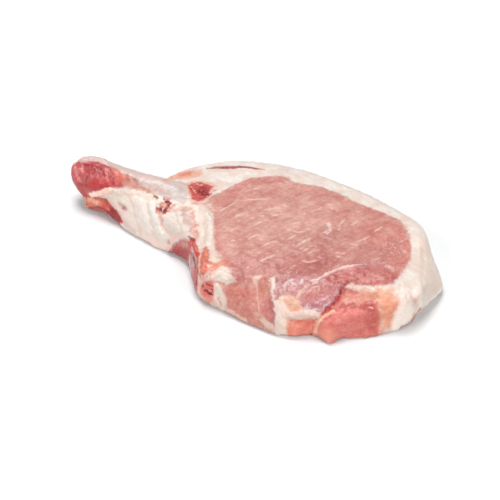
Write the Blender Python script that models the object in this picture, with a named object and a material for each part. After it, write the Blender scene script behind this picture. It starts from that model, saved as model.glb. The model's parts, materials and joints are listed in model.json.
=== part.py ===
"""Raw frenched pork rib chop, lying flat on its sawn underside.

All the soft tissue starts as one form: a wall that rises from a foot line on the
table to a rim, a gently domed sawn face inside the rim, and a flat underside.
Plan outlines then divide that form into muscles, fats and the sawn chine bone,
each a closed solid with a narrow gap to its neighbours.  The rib is a loft of oval
sections along a bent spine, and the tissue that it passes through is cut back
round it.

Frame: metres, +X along the sawn face towards its right end, +Y away from the
cut that faces the viewer, +Z up.  The origin is the middle of the footprint.
The constants below are in millimetres, and their plan points are counted from
PLAN_CENTRE.
"""
import math

import bmesh
import bpy
import numpy as np
from mathutils import Vector
from mathutils.geometry import delaunay_2d_cdt

MM = 0.001
PLAN_CENTRE = (0.1, 0.8)   # where the middle of the footprint falls among the points below

# Sizes that drive the whole chop.
CHOP_THICKNESS = 19.4      # sawn face above the table, away from the dome
DOME_RISE = 1.3            # extra height in the middle of the loin eye
DOME_CENTRE = (24.0, 2.0)
DOME_REACH = (42.0, 27.0)
GAP = 0.3                  # clearance between neighbouring solids
WALL_STEP = 3.6            # spacing of the wall's columns
SEAM_STEP = 2.8            # spacing of points along a dividing outline
TOP_SPACING = 6.4          # spacing of points on the sawn face
UNDERSIDE_SPACING = 11.0   # spacing of points on the underside
RIM_BLEND = 11.0           # distance over which the rim rises to the face
TIP_LIFT = 1.2             # how far the rib's end stands off the table
TIP_LIFT_FROM_X = -59.0    # where that lift begins
TIP_LIFT_LENGTH = 13.0

# The wall, clockwise from the corner beside the rib, as seen from above:
# foot X, foot Y, rim X, rim Y, rim height.
FAR_WALL = [
    (-41.4, 42.4, -40.8, 41.2, 17.2),
    (-34.0, 47.2, -33.4, 46.4, 18.0),
    (-18.4, 53.6, -18.0, 53.4, 18.5),
    (0.5, 54.3, 0.5, 54.9, 18.5),
    (23.4, 48.4, 23.2, 48.2, 18.5),
    (39.6, 39.2, 39.2, 38.4, 18.5),
    (55.2, 28.4, 54.4, 27.4, 18.4),
    (67.6, 16.6, 66.4, 15.6, 18.4),
]
RIGHT_WALL = [
    (76.4, 8.8, 74.4, 7.0, 18.4),
    (79.6, -0.6, 77.2, -0.8, 18.4),
    (81.4, -9.4, 77.0, -9.8, 18.3),
    (84.4, -17.8, 75.4, -19.8, 18.2),
    (82.6, -24.8, 74.5, -29.0, 17.8),
    (77.0, -31.6, 73.4, -36.4, 17.0),
    (71.6, -38.4, 70.4, -42.2, 15.8),
    (65.6, -44.6, 64.2, -45.6, 14.8),
]
NEAR_WALL = [
    (55.2, -48.4, 56.2, -45.4, 14.4),
    (48.8, -50.4, 48.2, -45.6, 13.8),
    (40.0, -51.6, 40.0, -46.6, 13.4),
    (33.4, -55.2, 32.4, -49.6, 12.6),
    (26.6, -50.4, 26.6, -48.4, 12.8),
    (18.6, -52.2, 19.6, -47.6, 13.2),
    (13.2, -51.0, 13.6, -42.6, 15.6),
    (7.4, -48.8, 8.6, -34.4, 17.4),
    (0.4, -44.4, 1.4, -32.8, 17.6),
    (-5.8, -39.8, -5.6, -31.2, 17.6),
    (-13.0, -34.3, -12.6, -29.8, 17.6),
    (-19.2, -29.6, -18.8, -28.2, 17.2),
    (-23.2, -24.6, -22.6, -23.4, 16.8),
]
NOTCH_WALL = [
    (-25.6, -14.8, -23.8, -14.4, 17.0),
    (-27.6, -6.2, -25.2, -6.0, 16.8),
    (-30.2, 1.2, -28.4, 2.4, 16.6),
]
RIB_NEAR_WALL = [
    (-36.6, 6.6, -34.8, 11.0, 17.4),
    (-43.6, 11.2, -42.2, 17.6, 18.2),
    (-51.2, 17.2, -49.6, 24.0, 18.6),
    (-58.6, 24.0, -56.6, 30.4, 18.4),
    (-62.8, 29.8, -62.6, 34.6, 17.0),
    (-69.8, 35.6, -69.2, 38.4, 13.4),
    (-76.6, 38.8, -75.6, 41.4, 10.8),
]
RIB_FAR_WALL = [
    (-76.4, 47.0, -75.0, 46.6, 9.0),
    (-64.4, 45.8, -63.8, 44.4, 11.0),
    (-53.6, 42.8, -53.0, 40.8, 13.4),
    (-46.6, 41.4, -46.0, 39.4, 15.6),
]
WALL = FAR_WALL + RIGHT_WALL + NEAR_WALL + NOTCH_WALL + RIB_NEAR_WALL + RIB_FAR_WALL

# The wall's section: share of the way from foot to rim, share of the rim's
# height, and how far the surface stands outside that line.
WALL_PROFILE = [
    (0.00, 0.00, -0.9),
    (0.00, 0.10, 0.2),
    (0.26, 0.36, 0.9),
    (0.60, 0.68, 0.9),
    (0.90, 0.90, 0.5),
    (1.00, 0.97, -0.3),
    (1.00, 1.00, -1.6),
]

# The rib from its free end to the sawn face: centre X, Y, Z, half the width,
# half the height.
RIB = [
    (-83.0, 53.2, 12.8, 1.6, 1.8),
    (-82.0, 52.6, 12.9, 4.4, 4.6),
    (-80.0, 51.2, 13.1, 6.8, 7.0),
    (-76.8, 49.2, 13.4, 8.5, 8.6),
    (-72.6, 46.9, 13.7, 9.3, 9.4),
    (-67.6, 44.2, 14.1, 9.1, 9.2),
    (-62.0, 41.2, 15.0, 8.2, 8.2),
    (-55.3, 37.6, 16.2, 7.1, 7.1),
    (-48.0, 34.2, 17.1, 6.2, 6.2),
    (-41.0, 31.9, 16.8, 6.2, 6.0),
    (-34.6, 30.4, 15.0, 6.8, 6.6),
    (-28.6, 28.8, 12.8, 7.8, 8.4),
    (-22.4, 28.0, 11.4, 8.2, 9.4),
    (-17.4, 28.6, 11.0, 6.2, 9.0),
    (-14.6, 29.2, 11.0, 2.6, 5.5),
]
RIB_STEP = 3.6
RIB_SIDES = 18
SAWN_RIB_TOP = 19.5        # the saw takes off whatever of the rib stands above this
SAWN_RIB_FROM_X = -31.0

# The sawn end of the chine bone, an oval plug in the near wall.
CHINE_CENTRE = (-19.6, -29.2, 8.4)
CHINE_INWARD = (0.32, 0.95, 0.0)
CHINE_HALF_WIDTH = 4.1
CHINE_HALF_HEIGHT = 6.2
CHINE_DEPTH = 9.0
CHINE_SIDES = 20

TABLE = -6.0               # low end of a dividing prism, below the chop
ABOVE = 40.0               # high end, above the chop


class Tissue:
    """One solid of the chop: its plan outline, its top and its plain finish."""

    def __init__(self, name, colour, roughness, outline, high=ABOVE, slope=(0.0, 0.0)):
        self.name = name
        self.colour = colour
        self.roughness = roughness
        self.outline = outline
        self.high = high          # height over the origin of the plane that tops it
        self.slope = slope        # how fast that plane climbs along +X and +Y


# Where two outlines overlap, the tissue listed first keeps the ground.
INTERCOSTAL = Tissue(
    "intercostal_muscle", (0.36, 0.05, 0.05), 0.42,
    [(-40.0, 4.0), (-36.4, 8.4), (-32.0, 10.4), (-27.4, 8.6), (-24.2, 3.6), (-22.9, -3.0),
     (-22.5, -12.0), (-22.7, -20.5), (-26.0, -24.0), (-33.0, -14.0)],
    high=9.6, slope=(0.0, -0.34))
CAP = Tissue(
    "cap_muscle", (0.50, 0.16, 0.18), 0.38,
    [(10.9, -32.9), (15.0, -32.3), (20.8, -33.2), (26.0, -34.4), (29.6, -33.2), (33.8, -29.6),
     (38.2, -26.9), (43.6, -25.2), (49.4, -24.0), (55.0, -22.9), (59.4, -24.8), (61.6, -29.6),
     (59.8, -35.0), (55.6, -37.4), (50.0, -37.6), (44.6, -37.4), (40.8, -37.2), (38.4, -38.8),
     (36.8, -42.6), (33.6, -46.4), (30.2, -48.8), (26.4, -47.6), (22.4, -46.8), (20.0, -43.8),
     (16.2, -41.4), (11.6, -40.6)])
SIDE = Tissue(
    "side_muscle", (0.62, 0.13, 0.09), 0.36,
    [(39.6, -38.6), (43.0, -39.2), (47.0, -39.4), (51.0, -40.2), (53.8, -42.4), (54.8, -46.4),
     (54.6, -52.0), (54.0, -60.0), (40.0, -62.0), (27.4, -60.0), (26.8, -54.0), (26.9, -49.0),
     (30.0, -46.0), (35.4, -42.6)])
SEAM_MUSCLE = Tissue(
    "seam_muscle", (0.74, 0.16, 0.07), 0.36,
    [(15.8, -42.0), (26.5, -42.0), (26.9, -50.0), (26.6, -60.0), (15.6, -60.0), (15.4, -50.0)],
    high=9.4)
SEAM_FAT = Tissue(
    "seam_fat", (0.86, 0.66, 0.55), 0.46,
    [(8.9, -30.8), (11.2, -31.0), (13.0, -37.0), (22.0, -41.0), (29.4, -44.0), (31.0, -50.0),
     (30.0, -60.0), (9.2, -60.0), (8.6, -46.0), (8.8, -36.0)])
EYE = Tissue(
    "loin_eye", (0.62, 0.27, 0.25), 0.40,
    [(-19.0, 19.4), (-16.4, 24.2), (-9.0, 31.8), (-1.0, 37.6), (7.0, 39.8), (14.6, 39.4),
     (18.2, 36.2), (23.0, 33.6), (31.8, 31.4), (38.4, 27.6), (45.8, 20.6), (55.2, 14.2),
     (63.4, 9.0), (67.8, 3.2), (69.7, -5.8), (69.2, -16.8), (66.2, -26.8), (60.6, -35.0),
     (50.0, -34.0), (30.0, -40.0), (16.0, -42.0), (12.0, -60.0), (-6.0, -56.0), (-10.0, -46.0),
     (-10.4, -35.8), (-8.6, -30.2), (-9.6, -24.8), (-13.0, -19.6), (-15.6, -13.8), (-16.6, -2.0),
     (-16.6, 8.6), (-17.6, 15.0)])
RIB_MEAT = Tissue(
    "rib_meat", (0.56, 0.10, 0.07), 0.40,
    [(-59.4, 22.0), (-70.0, 14.0), (-90.0, 22.0), (-92.0, 60.0), (-62.0, 62.0), (-59.0, 50.0),
     (-58.6, 36.0)],
    high=-52.6, slope=(-0.90, 0.0))
RIB_FAT = Tissue(
    "rib_fat", (0.88, 0.77, 0.69), 0.50,
    [(-23.8, 21.6), (-28.0, 27.0), (-34.0, 31.6), (-38.6, 36.0), (-41.6, 42.0), (-46.0, 52.0),
     (-62.0, 56.0), (-76.0, 52.0), (-78.0, 40.0), (-70.0, 20.0), (-58.0, 8.0), (-40.0, -4.0),
     (-30.0, -6.0), (-24.6, -1.0), (-23.6, 8.0), (-23.4, 15.0)])
RIDGE_FAT = Tissue(
    "ridge_fat", (0.87, 0.70, 0.60), 0.48,
    [(-18.0, 21.0), (-21.0, 25.0), (-27.0, 25.0), (-30.0, 10.0), (-34.0, -4.0), (-30.0, -34.0),
     (-12.0, -44.0), (-4.0, -40.0), (-4.0, -24.0), (-11.0, -8.0), (-12.0, 12.0)])
BACK_FAT = Tissue(
    "back_fat", (0.90, 0.79, 0.72), 0.50,
    [(-16.0, 16.0), (-26.0, 24.0), (-36.0, 28.0), (-48.0, 44.0), (-24.0, 66.0), (20.0, 66.0),
     (70.0, 40.0), (96.0, 8.0), (96.0, -36.0), (70.0, -58.0), (48.0, -58.0), (36.0, -38.0),
     (46.0, -20.0), (54.0, 0.0), (30.0, 20.0), (6.0, 26.0)])
TISSUES = [INTERCOSTAL, CAP, SIDE, SEAM_MUSCLE, SEAM_FAT, EYE, RIB_MEAT, RIB_FAT, RIDGE_FAT,
           BACK_FAT]


def clear_scene():
    """Remove every object, so that the script can run in any file."""
    for item in list(bpy.data.objects):
        bpy.data.objects.remove(item, do_unlink=True)


def material(name, colour, roughness):
    """Return a new Principled material of one colour."""
    finish = bpy.data.materials.new(name)
    finish.use_nodes = True
    shader = finish.node_tree.nodes["Principled BSDF"]
    shader.inputs["Base Color"].default_value = (*colour, 1.0)
    shader.inputs["Roughness"].default_value = roughness
    shader.inputs["Metallic"].default_value = 0.0
    return finish


def catmull_rom(before, start, end, after, share):
    """Point at a share of the way from start to end on a smooth curve."""
    return 0.5 * (2.0 * start + (end - before) * share
                  + (2.0 * before - 5.0 * start + 4.0 * end - after) * share ** 2
                  + (3.0 * start - before - 3.0 * end + after) * share ** 3)


def smooth_curve(points, step, closed):
    """Sample a smooth curve through points, about one step apart in plan."""
    points = np.array(points, dtype=float)
    count = len(points)
    spans = count if closed else count - 1
    samples = []
    for span in range(spans):
        picks = [span - 1, span, span + 1, span + 2]
        picks = [p % count if closed else min(max(p, 0), count - 1) for p in picks]
        corners = [points[p] for p in picks]
        length = np.linalg.norm(corners[2][:2] - corners[1][:2])
        pieces = max(1, round(length / step))
        samples += [catmull_rom(*corners, piece / pieces) for piece in range(pieces)]
    if not closed:
        samples.append(points[-1])
    return np.array(samples)


def outward_normals(outline):
    """Unit normals in plan that point out of a closed outline."""
    along = np.roll(outline, -1, axis=0) - np.roll(outline, 1, axis=0)
    along /= np.linalg.norm(along, axis=1)[:, None]
    ahead = np.roll(outline, -1, axis=0)
    turn = np.sum(outline[:, 0] * ahead[:, 1] - ahead[:, 0] * outline[:, 1])
    side = 1.0 if turn > 0.0 else -1.0
    return np.column_stack([along[:, 1], -along[:, 0]]) * side


def edge_distance(point, outline):
    """Distance in plan from a point to the nearest corner or side of an outline."""
    ahead = np.roll(outline, -1, axis=0) - outline
    offset = point - outline
    share = np.clip(np.sum(offset * ahead, axis=1) / np.sum(ahead * ahead, axis=1), 0.0, 1.0)
    return np.linalg.norm(offset - ahead * share[:, None], axis=1).min()


def is_inside(point, outline):
    """Even-odd test of a plan point against a closed outline."""
    ahead = np.roll(outline, -1, axis=0)
    crosses = (outline[:, 1] > point[1]) != (ahead[:, 1] > point[1])
    rise = np.where(crosses, ahead[:, 1] - outline[:, 1], 1.0)
    where = outline[:, 0] + (point[1] - outline[:, 1]) / rise * (ahead[:, 0] - outline[:, 0])
    return np.count_nonzero(crosses & (point[0] < where)) % 2 == 1


def ease(value, start, length):
    """Rise smoothly from 0 to 1 as value goes from start through length."""
    share = min(max((value - start) / length, 0.0), 1.0)
    return share * share * (3.0 - 2.0 * share)


def face_height(x, y):
    """Height of the sawn face: flat, with a low dome over the loin eye."""
    across = (x - DOME_CENTRE[0]) / DOME_REACH[0]
    along = (y - DOME_CENTRE[1]) / DOME_REACH[1]
    return CHOP_THICKNESS + DOME_RISE * math.exp(-across ** 2 - along ** 2)


def underside_height(x):
    """Height of the underside: on the table, and lifted under the rib's end."""
    return TIP_LIFT * ease(-x, -TIP_LIFT_FROM_X, TIP_LIFT_LENGTH)


def filled(ring, spacing, margin):
    """Fill a plan ring with triangles; return the points inside and the triangles."""
    low = ring.min(axis=0)
    high = ring.max(axis=0)
    inner = []
    for row, y in enumerate(np.arange(low[1], high[1], spacing)):
        for x in np.arange(low[0] + (row % 2) * spacing / 2, high[0], spacing):
            point = np.array([x, y])
            if is_inside(point, ring) and edge_distance(point, ring) > margin:
                inner.append(point)
    inner = np.array(inner).reshape(-1, 2)
    corners = [Vector(p) for p in np.vstack([ring, inner])]
    border = [(i, (i + 1) % len(ring)) for i in range(len(ring))]
    _, _, faces, origin, _, _ = delaunay_2d_cdt(corners, border, [], 1, 1e-6)
    return inner, [[origin[corner][0] for corner in face] for face in faces]


def build_object(name, points, faces):
    """Make an object from millimetre points and faces, with its faces turned out."""
    mesh = bpy.data.meshes.new(name)
    placed = (np.array(points, dtype=float) - (*PLAN_CENTRE, 0.0)) * MM
    mesh.from_pydata(placed.tolist(), [], faces)
    shape = bmesh.new()
    shape.from_mesh(mesh)
    bmesh.ops.triangulate(shape, faces=[f for f in shape.faces if len(f.verts) > 3])
    bmesh.ops.recalc_face_normals(shape, faces=shape.faces)
    shape.to_mesh(mesh)
    shape.free()
    mesh.shade_smooth()
    item = bpy.data.objects.new(name, mesh)
    bpy.context.collection.objects.link(item)
    return item


def soft_form():
    """Points and faces of all the soft tissue as one closed form."""
    columns = smooth_curve(WALL, WALL_STEP, closed=True)
    foot = columns[:, 0:2]
    rim = columns[:, 2:4]
    normals = outward_normals(foot)
    base = np.array([underside_height(x) for x in foot[:, 0]])
    points = []
    for across, up, proud in WALL_PROFILE:
        ring = foot + (rim - foot) * across + normals * proud
        points.append(np.column_stack([ring, base + (columns[:, 4] - base) * up]))
    count = len(columns)
    faces = []
    for level in range(len(WALL_PROFILE) - 1):
        for i in range(count):
            j = (i + 1) % count
            a = level * count
            b = a + count
            faces.append([a + i, a + j, b + j, b + i])
    below = points[0]
    above = points[-1]

    inner, fill = filled(below[:, :2], UNDERSIDE_SPACING, UNDERSIDE_SPACING / 2)
    start = count * len(WALL_PROFILE)
    heights = [underside_height(x) for x in inner[:, 0]]
    points.append(np.column_stack([inner, heights]))
    faces += [[i if i < count else i - count + start for i in face] for face in fill]

    start += len(inner)
    top_ring = (len(WALL_PROFILE) - 1) * count
    inner, fill = filled(above[:, :2], TOP_SPACING, TOP_SPACING / 2)
    heights = []
    for x, y in inner:
        gaps = np.linalg.norm(above[:, :2] - (x, y), axis=1)
        weights = 1.0 / (gaps + 0.5) ** 4
        rim_height = np.sum(weights * above[:, 2]) / np.sum(weights)
        share = ease(edge_distance(np.array([x, y]), above[:, :2]), 0.0, RIM_BLEND)
        heights.append(rim_height + (face_height(x, y) - rim_height) * share)
    points.append(np.column_stack([inner, heights]))
    faces += [[i + top_ring if i < count else i - count + start for i in face] for face in fill]
    return np.vstack(points), faces


def prism(name, tissue, grow):
    """An upright prism on a tissue's smoothed outline, grown or shrunk all round."""
    ring = smooth_curve(tissue.outline, SEAM_STEP, closed=True)
    ring = ring + outward_normals(ring) * grow
    count = len(ring)
    points = [(x, y, TABLE - grow) for x, y in ring]
    tops = tissue.high + ring @ np.array(tissue.slope) + grow
    points += [(x, y, top) for (x, y), top in zip(ring, tops)]
    faces = [[i, (i + 1) % count, count + (i + 1) % count, count + i] for i in range(count)]
    faces.append(list(range(count)))
    faces.append(list(range(count, 2 * count)))
    return guide(build_object(name, points, faces))


def loft(name, sections, sides, grow, sawn_top=None):
    """A closed tube of oval sections (X, Y, Z, half width, half height)."""
    centres = sections[:, :3]
    along = np.gradient(centres, axis=0)
    points = []
    for centre, heading, section in zip(centres, along, sections):
        heading = heading / np.linalg.norm(heading)
        across = np.cross(heading, (0.0, 0.0, 1.0))
        across /= np.linalg.norm(across)
        upward = np.cross(across, heading)
        for side in range(sides):
            angle = math.tau * side / sides
            points.append(centre + across * math.cos(angle) * (section[3] + grow)
                          + upward * math.sin(angle) * (section[4] + grow))
    if sawn_top is not None:
        points = [sawn(point, sawn_top) for point in points]
    faces = []
    for ring in range(len(sections) - 1):
        for side in range(sides):
            a = ring * sides + side
            b = ring * sides + (side + 1) % sides
            faces.append([a, b, b + sides, a + sides])
    faces.append(list(range(sides)))
    faces.append(list(range(len(points) - sides, len(points))))
    return build_object(name, points, faces)


def sawn(point, top):
    """Bring a point of the rib's buried end down to the saw's level."""
    x, y, z = point
    return (x, y, min(z, top)) if x > SAWN_RIB_FROM_X else (x, y, z)


def rib(name, grow):
    """The rib, or with grow the clearance that the soft tissue keeps from it."""
    sections = smooth_curve(RIB, RIB_STEP, closed=False)
    heading = (sections[1, :3] - sections[0, :3])
    sections[0, :3] -= heading / np.linalg.norm(heading) * grow
    heading = (sections[-1, :3] - sections[-2, :3])
    sections[-1, :3] += heading / np.linalg.norm(heading) * grow
    return loft(name, sections, RIB_SIDES, grow, SAWN_RIB_TOP + 4.0 * grow)


def chine_plug(name, grow):
    """The chine bone before the wall trims it: an oval bar that runs inward."""
    inward = np.array(CHINE_INWARD) / np.linalg.norm(CHINE_INWARD)
    outer = np.array(CHINE_CENTRE) - inward * CHINE_DEPTH
    inner = np.array(CHINE_CENTRE) + inward * (CHINE_DEPTH + grow)
    sections = [(*outer, CHINE_HALF_WIDTH, CHINE_HALF_HEIGHT),
                (*inner, CHINE_HALF_WIDTH, CHINE_HALF_HEIGHT)]
    return loft(name, np.array(sections), CHINE_SIDES, grow)


def guide(item):
    """Mark an object as a cutter that isn't part of the chop."""
    item.hide_render = True
    item.display_type = "WIRE"
    return item


def cut(item, operation, cutter):
    """Add an exact Boolean to an object."""
    modifier = item.modifiers.new(f"{operation.lower()} {cutter.name}", "BOOLEAN")
    modifier.operation = operation
    modifier.solver = "EXACT"
    modifier.object = cutter


def plan_box(tissue):
    """Lowest and highest plan corner of a tissue's outline."""
    outline = np.array(tissue.outline)
    return outline.min(axis=0), outline.max(axis=0)


def boxes_meet(one, other):
    """True where the plan boxes of two tissues overlap."""
    low_one, high_one = plan_box(one)
    low_other, high_other = plan_box(other)
    return bool(np.all(low_one < high_other) and np.all(low_other < high_one))


def main():
    """Build the chop: the rib, the chine bone and then each soft tissue."""
    clear_scene()
    form_points, form_faces = soft_form()

    rib_bone = rib("rib_bone", 0.0)
    rib_bone.data.materials.append(material("rib_bone", (0.66, 0.40, 0.36), 0.45))
    rib_clearance = guide(rib("rib_clearance", GAP))

    chine = build_object("chine_bone", form_points, form_faces)
    chine.data.materials.append(material("chine_bone", (0.78, 0.42, 0.36), 0.50))
    cut(chine, "INTERSECT", guide(chine_plug("chine_bar", 0.0)))
    chine_clearance = guide(chine_plug("chine_clearance", GAP))

    grown = {}
    for place, tissue in enumerate(TISSUES):
        shape = build_object(tissue.name, form_points, form_faces)
        shape.data.materials.append(material(tissue.name, tissue.colour, tissue.roughness))
        inner = prism(f"{tissue.name}_cutter", tissue, -GAP / 2)
        cut(shape, "INTERSECT", inner)
        for other in TISSUES[:place]:
            if boxes_meet(tissue, other):
                cut(shape, "DIFFERENCE", grown[other.name])
        cut(shape, "DIFFERENCE", rib_clearance)
        cut(shape, "DIFFERENCE", chine_clearance)
        grown[tissue.name] = prism(f"{tissue.name}_clearance", tissue, GAP / 2)


main()
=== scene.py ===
"""Looks of the raw frenched pork rib chop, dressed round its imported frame.

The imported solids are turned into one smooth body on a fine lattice: their gaps are
closed, their facets smoothed, and folds, pits and ridges are pressed into it.  The
body is then cut back into one closed piece for each solid, so that neighbouring
pieces meet flush.  What the photograph shows is laid on the surface as named marks:
strokes follow a path over it, and patches fill an outline as the camera sees it.
Lengths are in millimetres, and the paths of marks in the photograph's pixels.
Colours are written as they show on screen, where 255 is full; more makes up for shade.
"""

import json
import logging
import math
from dataclasses import dataclass, field, fields
from enum import Enum
from typing import Any, Iterable

import bmesh
import bpy
import numpy as np
import openvdb
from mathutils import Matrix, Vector
from mathutils.bvhtree import BVHTree

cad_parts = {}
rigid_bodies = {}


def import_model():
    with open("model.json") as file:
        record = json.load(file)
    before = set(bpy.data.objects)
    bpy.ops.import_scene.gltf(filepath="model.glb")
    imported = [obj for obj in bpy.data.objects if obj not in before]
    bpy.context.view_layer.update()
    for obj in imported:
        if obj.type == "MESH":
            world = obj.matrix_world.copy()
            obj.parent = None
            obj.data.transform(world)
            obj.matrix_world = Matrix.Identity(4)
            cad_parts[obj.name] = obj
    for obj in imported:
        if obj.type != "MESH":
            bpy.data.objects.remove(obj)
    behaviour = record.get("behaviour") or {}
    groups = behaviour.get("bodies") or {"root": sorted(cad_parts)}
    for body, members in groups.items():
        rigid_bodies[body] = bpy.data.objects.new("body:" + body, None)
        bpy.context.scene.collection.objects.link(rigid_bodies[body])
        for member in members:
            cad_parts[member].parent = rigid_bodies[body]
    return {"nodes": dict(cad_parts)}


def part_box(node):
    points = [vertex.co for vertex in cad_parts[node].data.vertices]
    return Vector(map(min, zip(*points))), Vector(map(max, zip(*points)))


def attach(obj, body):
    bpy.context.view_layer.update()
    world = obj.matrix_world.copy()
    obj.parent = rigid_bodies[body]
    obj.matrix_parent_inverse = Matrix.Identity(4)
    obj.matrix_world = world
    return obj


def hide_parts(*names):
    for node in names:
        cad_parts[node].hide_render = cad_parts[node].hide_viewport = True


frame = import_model()

LOG = logging.getLogger("chop")
MM = 0.001
LIGHT_LEVEL = 1.35             # how much brighter than its own colour a lit surface shows
PIXELS_PER_MM = 2.2            # at the chop, across the photograph
REACH = 1.5                    # how far a stroke acts with its ragged edge, in radii
HALO = 1.0                     # how much farther a thread of fat shows
THINNEST = 0.15                # a tapered stroke's width at its ends, as a share of the middle's
LAST_CELL = 1.001              # steps from a block's end back into its last cell
BLUR_REACH = 2.6               # where a blur's kernel ends, in deviations
Path = tuple[float, ...]       # pixels of the photograph, x and y in turn
Colour = tuple[int, int, int]
Arrays = tuple[np.ndarray, np.ndarray]
Objects = list[bpy.types.Object]


class Kind(Enum):
    """The kinds of tissue that a chop is made of."""

    MUSCLE = "muscle"
    FAT = "fat"
    BONE = "bone"


ROUGHNESS = {Kind.MUSCLE: 0.38, Kind.FAT: 0.46, Kind.BONE: 0.36}
FOLDS = {Kind.MUSCLE: 0.25, Kind.FAT: 0.6, Kind.BONE: 0.4}      # how wrinkled each kind is


def smoothstep(value: np.ndarray) -> np.ndarray:
    """Ease values from 0 to 1, flat at both ends."""
    share = np.clip(value, 0.0, 1.0)
    return share * share * (3.0 - 2.0 * share)


def linear(colour: Colour) -> np.ndarray:
    """Return the surface colour that shows as a screen colour under the lights.

    Args:
        colour: The screen colour.

    Returns:
        The linear colour.
    """
    share = np.array(colour, float) / 255.0
    light = np.where(share <= 0.04045, share / 12.92, ((share + 0.055) / 1.055) ** 2.4)
    return light / LIGHT_LEVEL


def smooth_path(points: np.ndarray, pieces: int) -> np.ndarray:
    """Return a smooth open curve through points.

    Args:
        points: The points, one a row.
        pieces: How many straight pieces to put between two points.

    Returns:
        The curve's points, one a row.
    """
    if len(points) < 3:
        return points
    padded = np.vstack([2 * points[0] - points[1], points, 2 * points[-1] - points[-2]])
    samples = []
    for before, start, end, after in zip(padded, padded[1:], padded[2:], padded[3:]):
        for share in np.arange(pieces) / pieces:
            samples.append(0.5 * (2 * start + (end - before) * share
                                  + (2 * before - 5 * start + 4 * end - after) * share ** 2
                                  + (3 * start - before - 3 * end + after) * share ** 3))
    return np.vstack(samples + [points[-1]])


class Ripple:
    """Smooth unevenness in space, summed from waves in many directions."""

    def __init__(self, seed: int, wavelength: float, waves: int = 22,
                 stray: float = 0.5) -> None:
        """Draw the waves.

        Args:
            seed: What the random draws start from.
            wavelength: The waves' middle length.
            waves: How many there are.
            stray: How far their lengths stray from the middle one, as a logarithm.
        """
        draw = np.random.default_rng(seed)
        heading = draw.normal(size=(waves, 3))
        heading /= np.linalg.norm(heading, axis=1)[:, None]
        length = wavelength * np.exp(draw.uniform(-stray, stray, waves))
        self.pace = (heading * math.tau / length[:, None]).astype(np.float32)
        self.start = draw.uniform(0.0, math.tau, waves).astype(np.float32)

    def __call__(self, points: np.ndarray) -> np.ndarray:
        """Return the unevenness at points, mostly between -1 and 1.

        Args:
            points: Points in space, one a row.

        Returns:
            One value for each point.
        """
        places = points.astype(np.float32)
        total = np.zeros(len(places), np.float32)
        for pace, start in zip(self.pace, self.start):
            total += np.cos(places @ pace + start)
        return total * math.sqrt(1.0 / len(self.start))


EDGE_RIPPLES = ((Ripple(5, 3.2), 0.6), (Ripple(6, 1.3), 0.45))    # each with its share


def edge_unevenness(points: np.ndarray) -> np.ndarray:
    """Return how far out or in a mark's edge strays at points."""
    return sum(ripple(points) * share for ripple, share in EDGE_RIPPLES)


@dataclass
class Skin:
    """Points on a surface, and how the camera sees them."""

    points: np.ndarray
    pixels: np.ndarray | None = None
    seen: np.ndarray | None = None     # 1 where the camera sees a point, 0 where it doesn't

    def part(self, chosen: np.ndarray) -> "Skin":
        """Return the chosen points alone."""
        return Skin(self.points[chosen], self.pixels[chosen], self.seen[chosen])


@dataclass(frozen=True)
class Stroke:
    """A stroke that follows a path over the surface; it may colour, wet and carve."""

    path: Path
    radius: float
    colour: Colour | None = None
    strength: float = 1.0
    rise: float = 0.0          # how far it lifts the surface, or below 0 presses it in
    soft: float = 0.8          # share of the radius over which it fades
    ragged: float = 0.35       # how far its edge strays, in radii, or for a patch in millimetres
    wet: float = 0.0           # how wet it makes the surface, which also mixes painted highlights into its colour
    taper: bool = False        # whether it thins out at both ends
    line: bool = False         # whether it shows as a crisp thread of fat

    def pixels(self) -> np.ndarray:
        """Return the path's points, one a row."""
        return np.reshape(self.path, (-1, 2)).astype(float)

    def reach(self) -> float:
        """Return how far from its path the stroke may act."""
        return self.radius * REACH + (HALO if self.line else 0.0)

    def nearness(self, points: np.ndarray, spine: np.ndarray) -> np.ndarray:
        """Return 1 on the stroke's middle, 0 at its edge and less beyond.

        Args:
            points: Points in space, one a row.
            spine: The stroke's path on the surface, one point a row.

        Returns:
            One value for each point.
        """
        best = np.full(len(points), -np.inf)
        pieces = max(len(spine) - 1, 1)
        for step in range(pieces):
            start = spine[step]
            ahead = spine[min(step + 1, len(spine) - 1)] - start
            offset = points - start
            length = float(ahead @ ahead)
            share = np.clip(offset @ ahead / length, 0.0, 1.0) if length else np.zeros(len(points))
            gap = np.linalg.norm(offset - share[:, None] * ahead, axis=1)
            width = self.radius
            if self.taper:
                bulge = np.sin(math.pi * (step + share) / pieces)
                width = self.radius * (THINNEST + (1.0 - THINNEST) * bulge)
            best = np.maximum(best, 1.0 - gap / width)
        return best + self.ragged * edge_unevenness(points)

    def near(self, points: np.ndarray, spine: np.ndarray) -> np.ndarray:
        """Return which points the stroke may reach.

        Args:
            points: Points in space, one a row.
            spine: The stroke's path on the surface.

        Returns:
            True for each point that it may reach.
        """
        low = spine.min(axis=0) - self.reach()
        high = spine.max(axis=0) + self.reach()
        return np.all((points > low) & (points < high), axis=1)

    def weight(self, skin: Skin, spine: np.ndarray) -> np.ndarray:
        """Return how strongly the stroke acts at points, from 0 to 1."""
        return smoothstep(self.nearness(skin.points, spine) / self.soft)


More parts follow.
